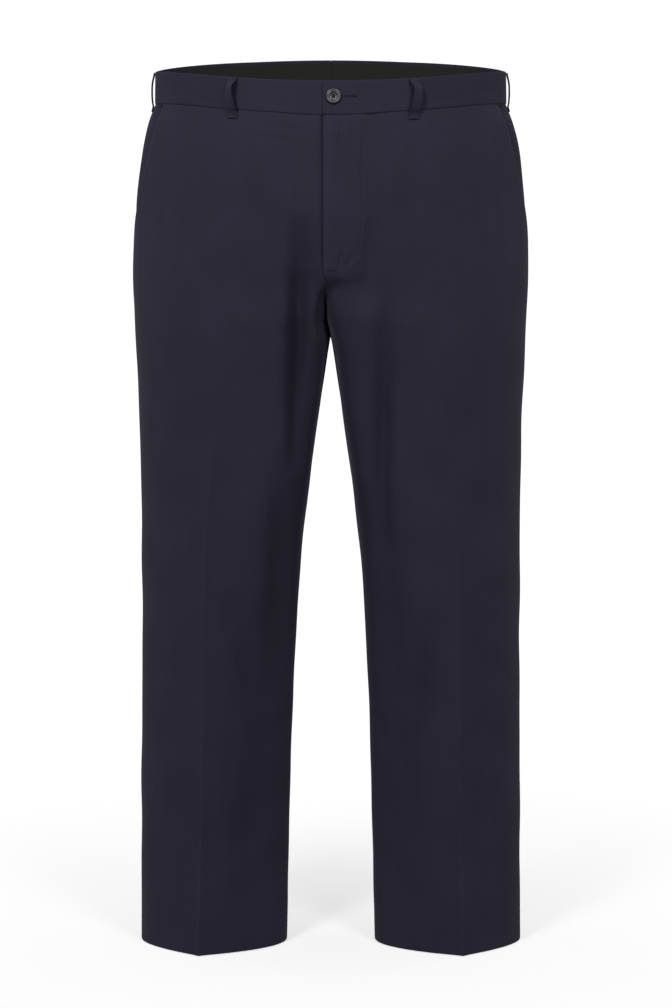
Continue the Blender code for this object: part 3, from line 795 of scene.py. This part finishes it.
def finish_panel(name, half, s, level, height, crease_column, look):
    """Add the seams' rolls and the crease, and make the panel's wall."""
    base = surface(s, level)
    reach = run_lengths(base, 1)
    front = s[0, 0] < 0.5
    to_end = reach[:, -1:] - reach
    height = height + roll(to_end, *SEAM_ROLL) * beside_fork(base[:, -1:, 0], level)
    height = height + roll(reach, *SEAM_ROLL) * beside_fork(base[:, :1, 0], level)
    if half > 0 and front:
        height = height + roll(reach, *FLY_ROLL) * ease(level, FLY_END - 10.0, FLY_END + 10.0)
    height = height + roll(level - level[:1], *TOP_ROLL) + roll(level - level[-1:], *HEM_ROLL)
    height = height + crease_ridge(reach, crease_column, level, half, front)
    nudge = seam_nudge(s, SEAM_GAP / 2)
    outer = cloth_points(half, s, level, height, nudge)
    if half > 0:      # the turning behind a centre seam covers the seam's gap
        seam = 0 if front else -1
        turned = -0.5 if front else 0.5
        nudge[:, seam] = np.where(PANEL_LEVELS[:, 0] > CROTCH, turned, nudge[:, seam])
    inner = cloth_points(half, s, level, height - panel_depth(), nudge)
    # painted shade in the folds, less the painted highlight along the crease and the turned edges
    shade = in_fold(half, s, level) - painted_highlight(half, front, reach, crease_column, level)
    return wall(name, outer, inner, look, shade)


def front_panel(name, half, look):
    inner = front_columns(half)
    crease_column = inner.shape[1] - 1
    share = both_ends(42)[None, 1:]
    side = PANEL_LEVELS[:, 1:]
    s = np.concatenate((inner, 0.25 + (pocket_edge(side) - 0.25) * share), 1)
    level = panel_level(s)
    level[:, 0] = PANEL_LEVELS[:, 0]
    return finish_panel(name, half, s, level, front_height(half, s, level), crease_column, look)


def back_panel(name, half, look):
    outer = SIDE_SEAM + (0.75 - SIDE_SEAM) * both_ends(38)
    inner = 0.75 + 0.25 * both_ends(42)[1:]
    s = np.repeat(np.concatenate((outer, inner))[None, :], len(PANEL_LEVELS), 0)
    level = panel_level(s)
    return finish_panel(name, half, s, level, np.zeros(s.shape), len(outer) - 1, look)


def pocket_facing(name, half, look):
    """The piece that shows in the pocket mouth, flush at the side seam where it is wide."""
    level = PANEL_LEVELS[:, 1:]
    level = level[level > POCKET_END - 25.0][:, None]
    edge = pocket_edge(level)
    s = edge - POCKET_TUCK + (SIDE_SEAM - edge + POCKET_TUCK) * np.linspace(0, 1, 25)[None, :]
    shown = ease(s, edge + 0.004, edge + 0.045)
    level = np.repeat(level, s.shape[1], 1)
    reach = run_lengths(surface(s, level), 1)
    height = -POCKET_RECESS * (1 - shown) + roll(reach[:, -1:] - reach, *SEAM_ROLL)
    height = height + roll(level - level[:1], *TOP_ROLL)
    # painted shade on the facing where it goes under the pocket's edge
    shade_under_edge = 1.5 * (1 - ease(s, edge, edge + 0.022))
    nudge = seam_nudge(s)
    return wall(name, cloth_points(half, s, level, height, nudge),
                cloth_points(half, s, level, height - WALL, nudge), look, shade_under_edge)


def band_height(half, s, level):
    """The height of the band's outer face, which rises or sinks where the ends overlap."""
    x = surface(s, level)[..., 0]
    if half > 0:
        change = OVERLAP_LIFT * (1 - ease(x, FLY_WIDTH - 8.0, FLY_WIDTH + 40.0))
    else:
        change = -UNDERLAP_SINK * (1 - ease(x, FLY_OVERLAP + 3.0, FLY_OVERLAP + 16.0))
    return BAND_RAISE + np.where(s > 0.25, 0.0, change)


def band(name, half, top, drop, depth, look):
    """One half of a waistband layer, from its overlap or underlap to the centre back."""
    past_middle = FLY_OVERLAP if half > 0 else UNDERLAP
    bottom = -BAND_HEIGHT + SEAM_GAP / 2 - (LINING_TUCK if drop else 0.0)
    level = (top + (bottom - top) * both_ends(22))[:, None]
    start = s_at_x(-past_middle + 0 * level, level)
    first = start + (0.25 - start) * both_ends(44)[None, :]
    rest = np.linspace(0.25, 1, 106)[None, 1:] + 0 * level
    s = np.concatenate((first, rest), 1)
    level = np.repeat(level, s.shape[1], 1)
    base = surface(s, level)
    reach = run_lengths(base, 1)
    height = band_height(half, s, level) - drop
    height = height + roll(level - top, 0.8, 2.2) + roll(level - bottom, 0.45, 2.0)
    if drop == 0:
        height = height + roll(reach, 0.6, 1.8)
        sag = np.sin(math.pi * np.clip(level / -BAND_HEIGHT, 0, 1))
        height = height + 0.35 * sag * ripple(base[..., 0] * 1.7, base[..., 1], level * 2)
    nudge = seam_nudge(s)
    inner = band_height(half, s, level) - drop - depth
    return wall(name, cloth_points(half, s, level, height, nudge),
                cloth_points(half, s, level, inner, nudge), look)


def loop_place(loop, level):
    """Which side of the middle a belt loop is on, and its s at each level."""
    half = -1 if loop.x < 0 else 1
    if loop.face == "side":
        return half, np.full(np.shape(level), 0.5)
    return half, s_at_x(abs(loop.x) + 0 * level, level, loop.face)


def loop_points(loop, across, level, lift):
    """Points of a belt loop: across is from its middle, lift from its inner face."""
    half, s = loop_place(loop, level)
    centre = cloth_points(half, s, level, 0.0)
    along, out = tangent_and_normal(s, level)
    outward = unit(along * (half, 1, 0)) * (-1 if loop.face == "back" else 1)
    out = out * (half, 1, 1)
    on_band = BAND_RAISE * ease(level, -BAND_HEIGHT - 4, -BAND_HEIGHT)
    row = loop_at(level)
    turn = np.radians(loop.turn) * row.twist
    thick = 0.25 * (1 - (2 * across / LOOP_WIDTH) ** 2) + lift
    raised = np.sin(turn) * (0.88 * LOOP_WIDTH / 2 - across)
    height = LOOP_SEAT + on_band + np.maximum(row.standoff, 0) * loop.free + raised
    height = height + thick * np.cos(turn)
    sideways = (across * np.cos(turn) + LOOP_WIDTH / 2 * (1 - np.cos(turn))
                + loop.bow * row.bow + thick * np.sin(turn))
    return centre + outward * sideways[..., None] + out * height[..., None]


def belt_loop(loop, look):
    """A folded strap that stands off the band and is caught at both ends."""
    top, bottom = LOOP_ROWS[-1].level, LOOP_ROWS[0].level
    level = np.linspace(top, bottom, 57)[:, None]
    across = (both_ends(14, 0.7) - 0.5)[None, :] * LOOP_WIDTH
    level, across = np.broadcast_arrays(level, across)
    edge = LOOP_WIDTH / 2 - np.abs(across)
    rounded = roll(edge, 0.5, 1.2) + roll(level - top, 0.6, 1.4) + roll(level - bottom, 0.6, 1.4)
    stitched = -0.22 * np.exp(-((edge - LOOP_STITCHES) / 0.6) ** 2)
    outer = loop_points(loop, across, level, LOOP_WALL + rounded + stitched)
    inner = loop_points(loop, across, level, 0.0 * level)
    return wall(loop.name + "_strap", outer, inner, look)


def stitches(name, runs, look, length=2.3, thickness=0.42):
    """Threads laid end to end along runs of (points, outward directions)."""
    bm = bmesh.new()
    for points, outs in runs:
        for a, b, out in zip(points[:-1], points[1:], outs[:-1]):
            way = Vector(b - a)
            if way.length < 0.2:
                continue
            x = way.normalized()
            z = Vector(out)
            y = z.cross(x).normalized()
            z = x.cross(y)
            turn = Matrix((x, y, z)).transposed().to_4x4()
            size = Matrix.Diagonal((length / 2, thickness / 2, thickness / 2, 1))
            spot = Matrix.Translation(Vector((a + b) / 2) * MM)
            bmesh.ops.create_icosphere(bm, subdivisions=1, radius=1,
                                       matrix=spot @ turn @ Matrix.Scale(MM, 4) @ size)
    return add_piece(name, bm, look, 180.0)


def on_cloth(half, s, level, height):
    """Points and outward directions on a panel for a row of stitches."""
    points = cloth_points(half, s, level, height)
    out = tangent_and_normal(s, level)[1] * (half, 1, 1)
    return points, out


def on_front(half, s, level, lift=0.05):
    """The same, on a front."""
    return on_cloth(half, s, level, front_height(half, s, level) + lift)


def threads_across(points, outs, ahead, reach):
    """Runs of one thread each, across a path that goes ahead, reaching to both its sides."""
    across = unit(np.cross(ahead, outs)) * reach
    return [(np.array((point - side, point + side)), (out, out))
            for point, side, out in zip(points, across, outs)]


# ------------ materials

def fill(node, inputs):
    """Set a node's inputs, each to a value or to another node's output."""
    for name, value in inputs.items():
        if isinstance(value, bpy.types.NodeSocket):
            node.id_data.links.new(value, node.inputs[name])
        else:
            node.inputs[name].default_value = value
    return node


def add_node(tree, kind, inputs=(), **settings):
    node = tree.nodes.new("ShaderNode" + kind)
    for name, value in settings.items():
        setattr(node, name, value)
    return fill(node, dict(inputs))


def new_material(name, finish):
    """A new material, with the finish set on its shader."""
    look = bpy.data.materials.new(name)
    look.use_nodes = True
    return look, look.node_tree, fill(look.node_tree.nodes["Principled BSDF"], finish)


def noise(tree, vector, scale, detail=2.0):
    inputs = {"Vector": vector, "Scale": scale, "Detail": detail}
    return add_node(tree, "TexNoise", inputs).outputs["Fac"]


def grain(tree, scale, detail=2.0):
    """Noise that stays with the piece."""
    return noise(tree, add_node(tree, "TexCoord").outputs["Object"], scale, detail)


def tinted(tree, share, colour, parts, stops=(0.0, 1.0)):
    """A colour that goes from its first part to its second one between two stops of share."""
    ramp = add_node(tree, "ValToRGB", {"Fac": share})
    for stop, position, part in zip(ramp.color_ramp.elements, stops, parts):
        stop.position = position
        stop.color = (*(c * part for c in colour), 1)
    return ramp.outputs["Color"]


def bumped(tree, height, strength, distance, **more):
    inputs = {"Height": height, "Strength": strength, "Distance": distance, **more}
    return add_node(tree, "Bump", inputs).outputs["Normal"]


def suiting(name, colour, sizes):
    """Wool twill: a fine diagonal rib, uneven yarns and a slight bloom, with shade painted into
    the folds and highlights painted on pressed edges.
    """
    look, tree, shader = new_material(name, {
        "Roughness": 0.86, "Specular IOR Level": 0.22, "Sheen Weight": sizes.sheen,
        "Sheen Roughness": 0.42, "Sheen Tint": (0.62, 0.62, 0.80, 1.0)})
    uv = add_node(tree, "UVMap", uv_map="UVMap").outputs["UV"]

    def woven(across, along, scale, detail):
        """Noise that is stretched across or along the cloth."""
        place = add_node(tree, "Mapping", {"Vector": uv, "Scale": (across, along, 1)})
        return noise(tree, place.outputs["Vector"], scale, detail)

    def worked_out(kind, *values):
        return add_node(tree, "Math", enumerate(values), operation=kind).outputs["Value"]

    rib = add_node(tree, "TexWave", {
        "Vector": uv, "Scale": 1.0 / (sizes.weave * MM) / 6.3, "Distortion": 0.6, "Detail": 1.0,
        "Detail Scale": 2.0}, wave_type="BANDS", bands_direction="DIAGONAL").outputs["Fac"]
    yarns = worked_out("ADD", woven(1400, 60, 1.0, 2), woven(60, 1400, 1.0, 2))
    patches, streaks = woven(1, 1, 14.0, 4), woven(110, 7, 1.0, 3)
    tone = worked_out("MULTIPLY", yarns, 0.16)
    for pattern, part in ((patches, 0.42), (streaks, 0.20), (rib, 0.05)):
        tone = worked_out("MULTIPLY_ADD", pattern, part, tone)
    colour = tinted(tree, tone, colour, (0.84, 1.16), (0.38, 0.70))
    # painted shade and painted highlight: the attribute darkens the colour in folds and lightens
    # it on pressed edges
    deep = add_node(tree, "Attribute", attribute_name="painted_shading").outputs["Fac"]
    shade = add_node(tree, "VectorMath", {
        0: colour, "Scale": worked_out("MULTIPLY_ADD", deep, -sizes.fold_shade, 1.0)},
        operation="SCALE")
    fine = bumped(tree, worked_out("MULTIPLY_ADD", rib, 0.5, yarns), 0.35, 0.00012)
    soft = bumped(tree, woven(1, 0.6, 38.0, 3), 0.30, 0.0016, Normal=fine)
    fill(shader, {"Base Color": shade.outputs["Vector"], "Normal": soft})
    return look


def plain_cloth(name, colour):
    """Matt woven cotton for the inside of the waistband."""
    look, tree, shader = new_material(name, {
        "Base Color": (*colour, 1), "Roughness": 0.9, "Specular IOR Level": 0.15,
        "Sheen Weight": 0.04})
    fill(shader, {"Normal": bumped(tree, grain(tree, 900.0), 0.3, 0.0002)})
    return look


def resin(name, colour):
    """Polished dark resin with a faint cloud in it."""
    look, tree, shader = new_material(name, {
        "Roughness": 0.42, "Coat Weight": 0.5, "Coat Roughness": 0.30})
    fill(shader, {"Base Color": tinted(tree, grain(tree, 260.0, 3.0), colour, (0.6, 1.7))})
    return look


def sewing_thread(name, colour):
    look, tree, shader = new_material(name, {"Roughness": 0.8, "Specular IOR Level": 0.15})
    fill(shader, {"Base Color": tinted(tree, grain(tree, 2500.0), colour, (0.7, 1.3))})
    return look


LOOKS = {}


def look_of(kind):
    """Each material is made once, from the colours in the panel."""
    if kind not in LOOKS:
        scene = bpy.context.scene
        cloth, colours = scene.trousers_cloth, scene.trousers_colours
        LOOKS[kind] = {
            "suiting": lambda: suiting("navy_suiting", colours.cloth, cloth),
            "facing": lambda: plain_cloth("band_lining", colours.facing),
            "resin": lambda: resin("dark_resin", colours.button),
            "thread": lambda: sewing_thread("navy_thread", colours.thread),
        }[kind]()
    return LOOKS[kind]


# ------------ settings

class TrousersClothSettings(bpy.types.PropertyGroup):
    crease_strength: FloatProperty(
        name="Crease strength", default=1.0, min=0, max=3,
        description="Share of the small creases' depth")
    ripple: FloatProperty(
        name="Ripple", default=0.9, min=0, max=3,
        description="Height of the cloth's slow unevenness, in millimetres")
    crease_ridge: FloatProperty(
        name="Pressed crease", default=1.6, min=0, max=4,
        description="Height of the ridge along the pressed creases, in millimetres")
    weave: FloatProperty(
        name="Weave", default=0.9, min=0.2, max=5,
        description="Width of one rib of the twill, in millimetres")
    # painted shade: how much the colour darkens in deep folds, and lightens as a painted
    # highlight on pressed edges
    fold_shade: FloatProperty(
        name="Fold shade", default=0.34, min=0, max=1, subtype="FACTOR",
        description="How much darker the cloth is in the bottom of a deep fold")
    sheen: FloatProperty(
        name="Sheen", default=0.10, min=0, max=1, subtype="FACTOR",
        description="Bloom of the suiting at glancing angles")


class TrousersColourSettings(bpy.types.PropertyGroup):
    cloth: FloatVectorProperty(
        name="Suiting", subtype="COLOR", default=(0.0165, 0.0148, 0.0300), min=0, max=1,
        description="Colour of the suiting")
    facing: FloatVectorProperty(
        name="Band lining", subtype="COLOR", default=(0.0150, 0.0150, 0.0140), min=0, max=1,
        description="Colour of the inside of the waistband")
    button: FloatVectorProperty(
        name="Button", subtype="COLOR", default=(0.034, 0.034, 0.038), min=0, max=1,
        description="Colour of the button")
    thread: FloatVectorProperty(
        name="Thread", subtype="COLOR", default=(0.0125, 0.0115, 0.0205), min=0, max=1,
        description="Colour of the sewing thread")


class TrousersStageSettings(bpy.types.PropertyGroup):
    distance: FloatProperty(
        name="Camera distance", default=3.0, min=0.5, max=20, unit="LENGTH",
        description="How far in front of the waist the camera stands")
    lens: FloatProperty(
        name="Lens", default=85.0, min=10, max=300, subtype="DISTANCE_CAMERA",
        description="Focal length for a 36 mm high sensor")
    key: FloatProperty(
        name="Key light", default=12.3, min=0, max=1000, subtype="POWER",
        description="Power of the soft light in front, on the wearer's right")
    fill: FloatProperty(
        name="Fill light", default=8.6, min=0, max=1000, subtype="POWER",
        description="Power of the soft light in front, on the wearer's left")
    rims: FloatProperty(
        name="Rim lights", default=15.5, min=0, max=1000, subtype="POWER",
        description="Power of each tall light beside and behind")
    spread: FloatProperty(
        name="Spread", default=60.0, min=1, max=180,
        description="How wide the two lights in front spread, in degrees")
    ambient: FloatProperty(
        name="Ambient light", default=0.11, min=0, max=5,
        description="Light that the surround casts")
    surround: FloatProperty(
        name="White surround", default=1.06, min=0, max=5,
        description="Brightness of the surround as it is seen")
    floor: FloatProperty(
        name="Floor", default=0.40, min=0, max=1, subtype="FACTOR",
        description="How solid the frosted floor is, and so how dark its shadows are")


# ------------ operators

def declare(node):
    """Hide the solid that a cloth piece stands for."""
    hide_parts(node)


class TROUSERS_OT_panels(bpy.types.Operator):
    """Make the four leg panels"""
    bl_idname = "trousers.panels"
    bl_label = "Leg panels"

    def execute(self, context):
        look = look_of("suiting")
        for half, side in SIDES:
            front = front_panel("cloth_front_" + side, half, look)
            declare("front_" + side)
            back = back_panel("cloth_back_" + side, half, look)
            declare("back_" + side)
        return {"FINISHED"}


class TROUSERS_OT_pockets(bpy.types.Operator):
    """Make the facings of the slanted pockets, and dress the fly shield"""
    bl_idname = "trousers.pockets"
    bl_label = "Pockets and fly shield"

    def execute(self, context):
        look = look_of("suiting")
        for half, side in SIDES:
            facing = pocket_facing("cloth_pocket_" + side, half, look)
            declare("pocket_facing_" + side)
        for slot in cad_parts["fly_shield"].material_slots:
            slot.material = look
        return {"FINISHED"}


class TROUSERS_OT_waistband(bpy.types.Operator):
    """Make both halves of the waistband and its lining"""
    bl_idname = "trousers.waistband"
    bl_label = "Waistband"

    def execute(self, context):
        for half, side in SIDES:
            outer = band("cloth_band_" + side, half, 0.0, 0.0, WALL, look_of("suiting"))
            declare("waistband_" + side)
            lining = band("lining_band_" + side, half, -FACING_DROP, WALL + SEAM_GAP,
                          FACING_WALL, look_of("facing"))
            declare("band_facing_" + side)
        return {"FINISHED"}


class TROUSERS_OT_belt_loops(bpy.types.Operator):
    """Make the belt loops"""
    bl_idname = "trousers.belt_loops"
    bl_label = "Belt loops"

    def execute(self, context):
        for loop in LOOPS:
            strap = belt_loop(loop, look_of("suiting"))
            declare(loop.name)
        return {"FINISHED"}


def button_place():
    """The matrix that puts the button on its seat and turns it there."""
    s = s_at_x(BUTTON_X, BUTTON_LEVEL)
    out = Vector(tangent_and_normal(s, BUTTON_LEVEL)[1])
    seat = Vector(cloth_points(1, s, BUTTON_LEVEL, BAND_RAISE + OVERLAP_LIFT + SEAM_GAP))
    return Matrix.Translation(seat * MM) @ out.to_track_quat("Z", "Y").to_matrix().to_4x4()


def turned_button(look):
    bm = bmesh.new()
    ring = [bm.verts.new((r * BUTTON_RADIUS * MM, 0, h * BUTTON_RADIUS * MM))
            for r, h in BUTTON_PROFILE]
    edges = [bm.edges.new(pair) for pair in zip(ring, ring[1:])]
    bmesh.ops.spin(bm, geom=ring + edges, cent=(0, 0, 0), axis=(0, 0, 1), dvec=(0, 0, 0),
                   angle=math.tau, steps=72, use_merge=True)
    bmesh.ops.remove_doubles(bm, verts=bm.verts, dist=0.00001)
    made = add_piece("turned_button", bm, look, 50.0)

    cutter_bm = bmesh.new()
    for quarter in range(4):
        turn = math.tau * (quarter + 0.5) / 4
        spot = Matrix.Translation(Vector((math.cos(turn), math.sin(turn), 0))
                                  * BUTTON_HOLE_SPACING * MM)
        bmesh.ops.create_cone(cutter_bm, cap_ends=True, segments=20, matrix=spot,
                              radius1=BUTTON_HOLE_RADIUS * MM,
                              radius2=BUTTON_HOLE_RADIUS * MM, depth=0.02)
    cutter = put_in_scene("button_drill", mesh_from("button_drill", cutter_bm))
    drill = made.modifiers.new("holes", "BOOLEAN")
    drill.operation = "DIFFERENCE"
    drill.object = cutter
    with bpy.context.temp_override(object=made, active_object=made):
        bpy.ops.object.modifier_apply(modifier="holes")
    bpy.data.objects.remove(cutter)
    made.data.transform(button_place())
    return made


def button_threads(look):
    """Two bars of thread through the four holes, and the shank under the button."""
    bm = bmesh.new()
    top = 0.10 * BUTTON_RADIUS
    gap = BUTTON_HOLE_SPACING * math.sqrt(0.5)
    for y in (-gap, gap):
        for k in range(7):
            off = (k - 3) * 0.3
            size = Matrix.Diagonal((gap + 0.95, 0.22, 0.26, 1))
            z = top + 0.14 - 0.025 * abs(k - 3)
            spot = Matrix.Translation(Vector((0, y + off, z)) * MM)
            bmesh.ops.create_icosphere(bm, subdivisions=2, radius=1,
                                       matrix=spot @ Matrix.Scale(MM, 4) @ size)
    bmesh.ops.create_cone(bm, cap_ends=True, segments=16, radius1=1.6 * MM, radius2=1.6 * MM,
                          depth=1.2 * MM, matrix=Matrix.Translation((0, 0, -0.3 * MM)))
    made = add_piece("button_threads", bm, look, 60.0)
    made.data.transform(button_place())
    return made


def buttonhole(look, dark):
    """A keyhole buttonhole: a dark slit, and its worked edge of thread wound round it."""
    left, right, level = 9.0, 31.0, BUTTON_LEVEL
    half_width, eye = 0.75, 1.5

    def on_band(x, at, lift=0.1):
        s = s_at_x(x, at)
        return on_cloth(1, s, at, band_height(1, s, at) + lift)

    along = np.linspace(left, right - eye, 34)
    path = [(x, level + half_width) for x in along]
    turns = np.linspace(math.pi * 0.78, -math.pi * 0.78, 14)
    path += [(right + eye * math.cos(a), level + eye * math.sin(a)) for a in turns]
    path += [(x, level - half_width) for x in along[::-1]]
    path = np.array(path)
    points, outs = on_band(*path.T, 0.12)
    runs = threads_across(points[1:-1], outs[1:-1], points[2:] - points[:-2], 0.5)
    worked = stitches("buttonhole_thread", runs, look, 1.1, 0.5)
    middle = np.linspace(left, right, 30)
    slit = stitches("buttonhole_slit", [on_band(middle, level + 0 * middle)], dark, 1.4, 0.9)
    eyelet = np.array([(right - 0.7, level), (right + 0.7, level)])
    hole = stitches("buttonhole_eye", [on_band(*eyelet.T)], dark, 1.8, 1.5)
    return worked, slit, hole


class TROUSERS_OT_button(bpy.types.Operator):
    """Make the button, its threads and the worked buttonhole"""
    bl_idname = "trousers.button"
    bl_label = "Button and buttonhole"

    def execute(self, context):
        button = turned_button(look_of("resin"))
        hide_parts("button")
        button_threads(look_of("thread"))
        for piece in buttonhole(look_of("thread"), look_of("facing")):
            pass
        return {"FINISHED"}


class TROUSERS_OT_stitching(bpy.types.Operator):
    """Sew the visible rows of stitches and the bar tack"""
    bl_idname = "trousers.stitching"
    bl_label = "Stitching"

    def execute(self, context):
        thread = look_of("thread")
        x, level = path_through(FLY_STITCHES, 3.0).T
        made = [stitches("fly_stitches", [on_front(1, s_at_x(x, level), level)], thread)]

        level = np.arange(STITCH_TOP, POCKET_END + 8.0, -3.0)
        for half, side in SIDES:
            row = on_front(half, pocket_edge(level) - POCKET_STITCHES, level)
            made.append(stitches("pocket_stitches_" + side, [row], thread))

        x, level = path_through(FLY_TACK, 0.45).T
        points, outs = on_front(1, s_at_x(x, level), level, 0.02)
        tack = threads_across(points[:-1], outs[:-1], np.diff(points, axis=0), 0.75)
        made.append(stitches("fly_tack", tack, thread, 1.5, 0.3))

        level = np.arange(-3.0, -48.5, -2.9)
        for loop in LOOPS:
            half, s = loop_place(loop, level)
            outs = tangent_and_normal(s, level)[1] * (half, 1, 1)
            aside = LOOP_WIDTH / 2 - LOOP_STITCHES
            runs = [(loop_points(loop, x + 0 * level, level, LOOP_WALL - 0.1 + 0 * level), outs)
                    for x in (-aside, aside)]
            made.append(stitches(loop.name + "_stitches", runs, thread, 2.2, 0.4))
        return {"FINISHED"}


def area_light(name, place, target, size, power, spread=180):
    light = bpy.data.lights.new(name, "AREA")
    light.spread = math.radians(spread)
    light.shape = "RECTANGLE"
    light.size, light.size_y = size
    light.energy = power
    made = put_in_scene(name, light)
    made.location = place
    made.rotation_euler = (Vector(target) - Vector(place)).to_track_quat("-Z", "Y").to_euler()


def floor_material():
    """A pale, frosted floor over the white surround, so that its shadows stay soft."""
    look, tree, shader = new_material("white_floor", {
        "Base Color": (0.93, 0.93, 0.93, 1), "Roughness": 0.9, "Specular IOR Level": 0.1})
    coords = add_node(tree, "TexCoord").outputs["Object"]
    reach = add_node(tree, "Mapping", {
        "Vector": coords, "Scale": (1 / FLOOR_REACH, 1 / FLOOR_REACH, 0)})
    fade = add_node(tree, "TexGradient", {"Vector": reach.outputs["Vector"]},
                    gradient_type="QUADRATIC_SPHERE")
    solid = bpy.context.scene.trousers_stage.floor
    share = add_node(tree, "Math", {0: fade.outputs["Fac"], 1: solid}, operation="MULTIPLY")
    mixed = add_node(tree, "MixShader", {
        "Fac": share.outputs["Value"], 1: add_node(tree, "BsdfTransparent").outputs["BSDF"],
        2: shader.outputs["BSDF"]})
    fill(tree.nodes["Material Output"], {"Surface": mixed.outputs["Shader"]})
    return look


def white_surround(seen, cast):
    """A surround that is seen white and casts only a little light."""
    world = bpy.data.worlds.new("white_surround")
    world.use_nodes = True
    tree = world.node_tree
    light = fill(tree.nodes["Background"], {"Color": WHITE, "Strength": cast})
    backdrop = add_node(tree, "Background", {"Color": WHITE, "Strength": seen})
    mixed = add_node(tree, "MixShader", {
        "Fac": add_node(tree, "LightPath").outputs["Is Camera Ray"],
        1: light.outputs["Background"], 2: backdrop.outputs["Background"]})
    fill(tree.nodes["World Output"], {"Surface": mixed.outputs["Shader"]})
    return world


class TROUSERS_OT_stage(bpy.types.Operator):
    """Set up the white floor, the soft lights and the camera"""
    bl_idname = "trousers.stage"
    bl_label = "Stage"

    def execute(self, context):
        scene = context.scene
        stage = scene.trousers_stage
        bm = bmesh.new()
        bmesh.ops.create_circle(bm, cap_ends=True, segments=96, radius=FLOOR_REACH)
        bmesh.ops.translate(bm, verts=bm.verts, vec=(0, 0, CAD_BOUNDS[0][2] - FLOOR_GAP))
        floor = put_in_scene("floor", mesh_from("floor", bm))
        floor.data.materials.append(floor_material())

        area_light("key_light", (-1.5, -2.7, 1.8), (-0.10, 0, -0.47), (0.9, 1.3), stage.key,
                   stage.spread)
        area_light("fill_light", (1.5, -2.7, 1.6), (0.14, 0, -0.47), (1.0, 1.3), stage.fill,
                   stage.spread)
        for half, side in SIDES:
            area_light("rim_light_" + side, (half * 2.4, 0.9, -0.4), (0, 0, -0.5),
                       (1.2, 2.2), stage.rims)

        scene.world = white_surround(stage.surround, stage.ambient)
        scene.view_settings.view_transform = "Standard"
        scene.view_settings.look = "None"

        lens = bpy.data.cameras.new("camera")
        lens.sensor_fit = "VERTICAL"
        lens.sensor_height = 36.0
        lens.lens = stage.lens
        lens.clip_end = 200.0
        camera = put_in_scene("camera", lens)
        camera.location = (CAMERA_X, -stage.distance, CAMERA_Z)
        camera.rotation_euler = (math.radians(90 - CAMERA_PITCH), 0, 0)
        scene.camera = camera
        return {"FINISHED"}


class TROUSERS_PT_panel(bpy.types.Panel):
    """The trousers' settings and their steps, in order"""
    bl_label = "Trousers"
    bl_idname = "TROUSERS_PT_panel"
    bl_space_type = "VIEW_3D"
    bl_region_type = "UI"
    bl_category = "Trousers"

    def draw(self, context):
        layout = self.layout
        scene = context.scene
        for settings in (scene.trousers_cloth, scene.trousers_colours, scene.trousers_stage):
            box = layout.box()
            for name in type(settings).__annotations__:
                box.prop(settings, name)
        for operator in OPERATORS:
            layout.operator(operator.bl_idname)


SETTINGS = {
    "trousers_cloth": TrousersClothSettings,
    "trousers_colours": TrousersColourSettings,
    "trousers_stage": TrousersStageSettings,
}
OPERATORS = (TROUSERS_OT_panels, TROUSERS_OT_pockets, TROUSERS_OT_waistband,
             TROUSERS_OT_belt_loops, TROUSERS_OT_button, TROUSERS_OT_stitching,
             TROUSERS_OT_stage)


def register():
    for kind in (*SETTINGS.values(), *OPERATORS, TROUSERS_PT_panel):
        bpy.utils.register_class(kind)
    for name, kind in SETTINGS.items():
        setattr(bpy.types.Scene, name, PointerProperty(type=kind))


def unregister():
    for name in SETTINGS:
        delattr(bpy.types.Scene, name)
    for kind in (TROUSERS_PT_panel, *reversed(OPERATORS), *SETTINGS.values()):
        bpy.utils.unregister_class(kind)


def main():
    register()
    bpy.ops.trousers.panels()
    bpy.ops.trousers.pockets()
    bpy.ops.trousers.waistband()
    bpy.ops.trousers.belt_loops()
    bpy.ops.trousers.button()
    bpy.ops.trousers.stitching()
    bpy.ops.trousers.stage()


if __name__ == "__main__":
    main()
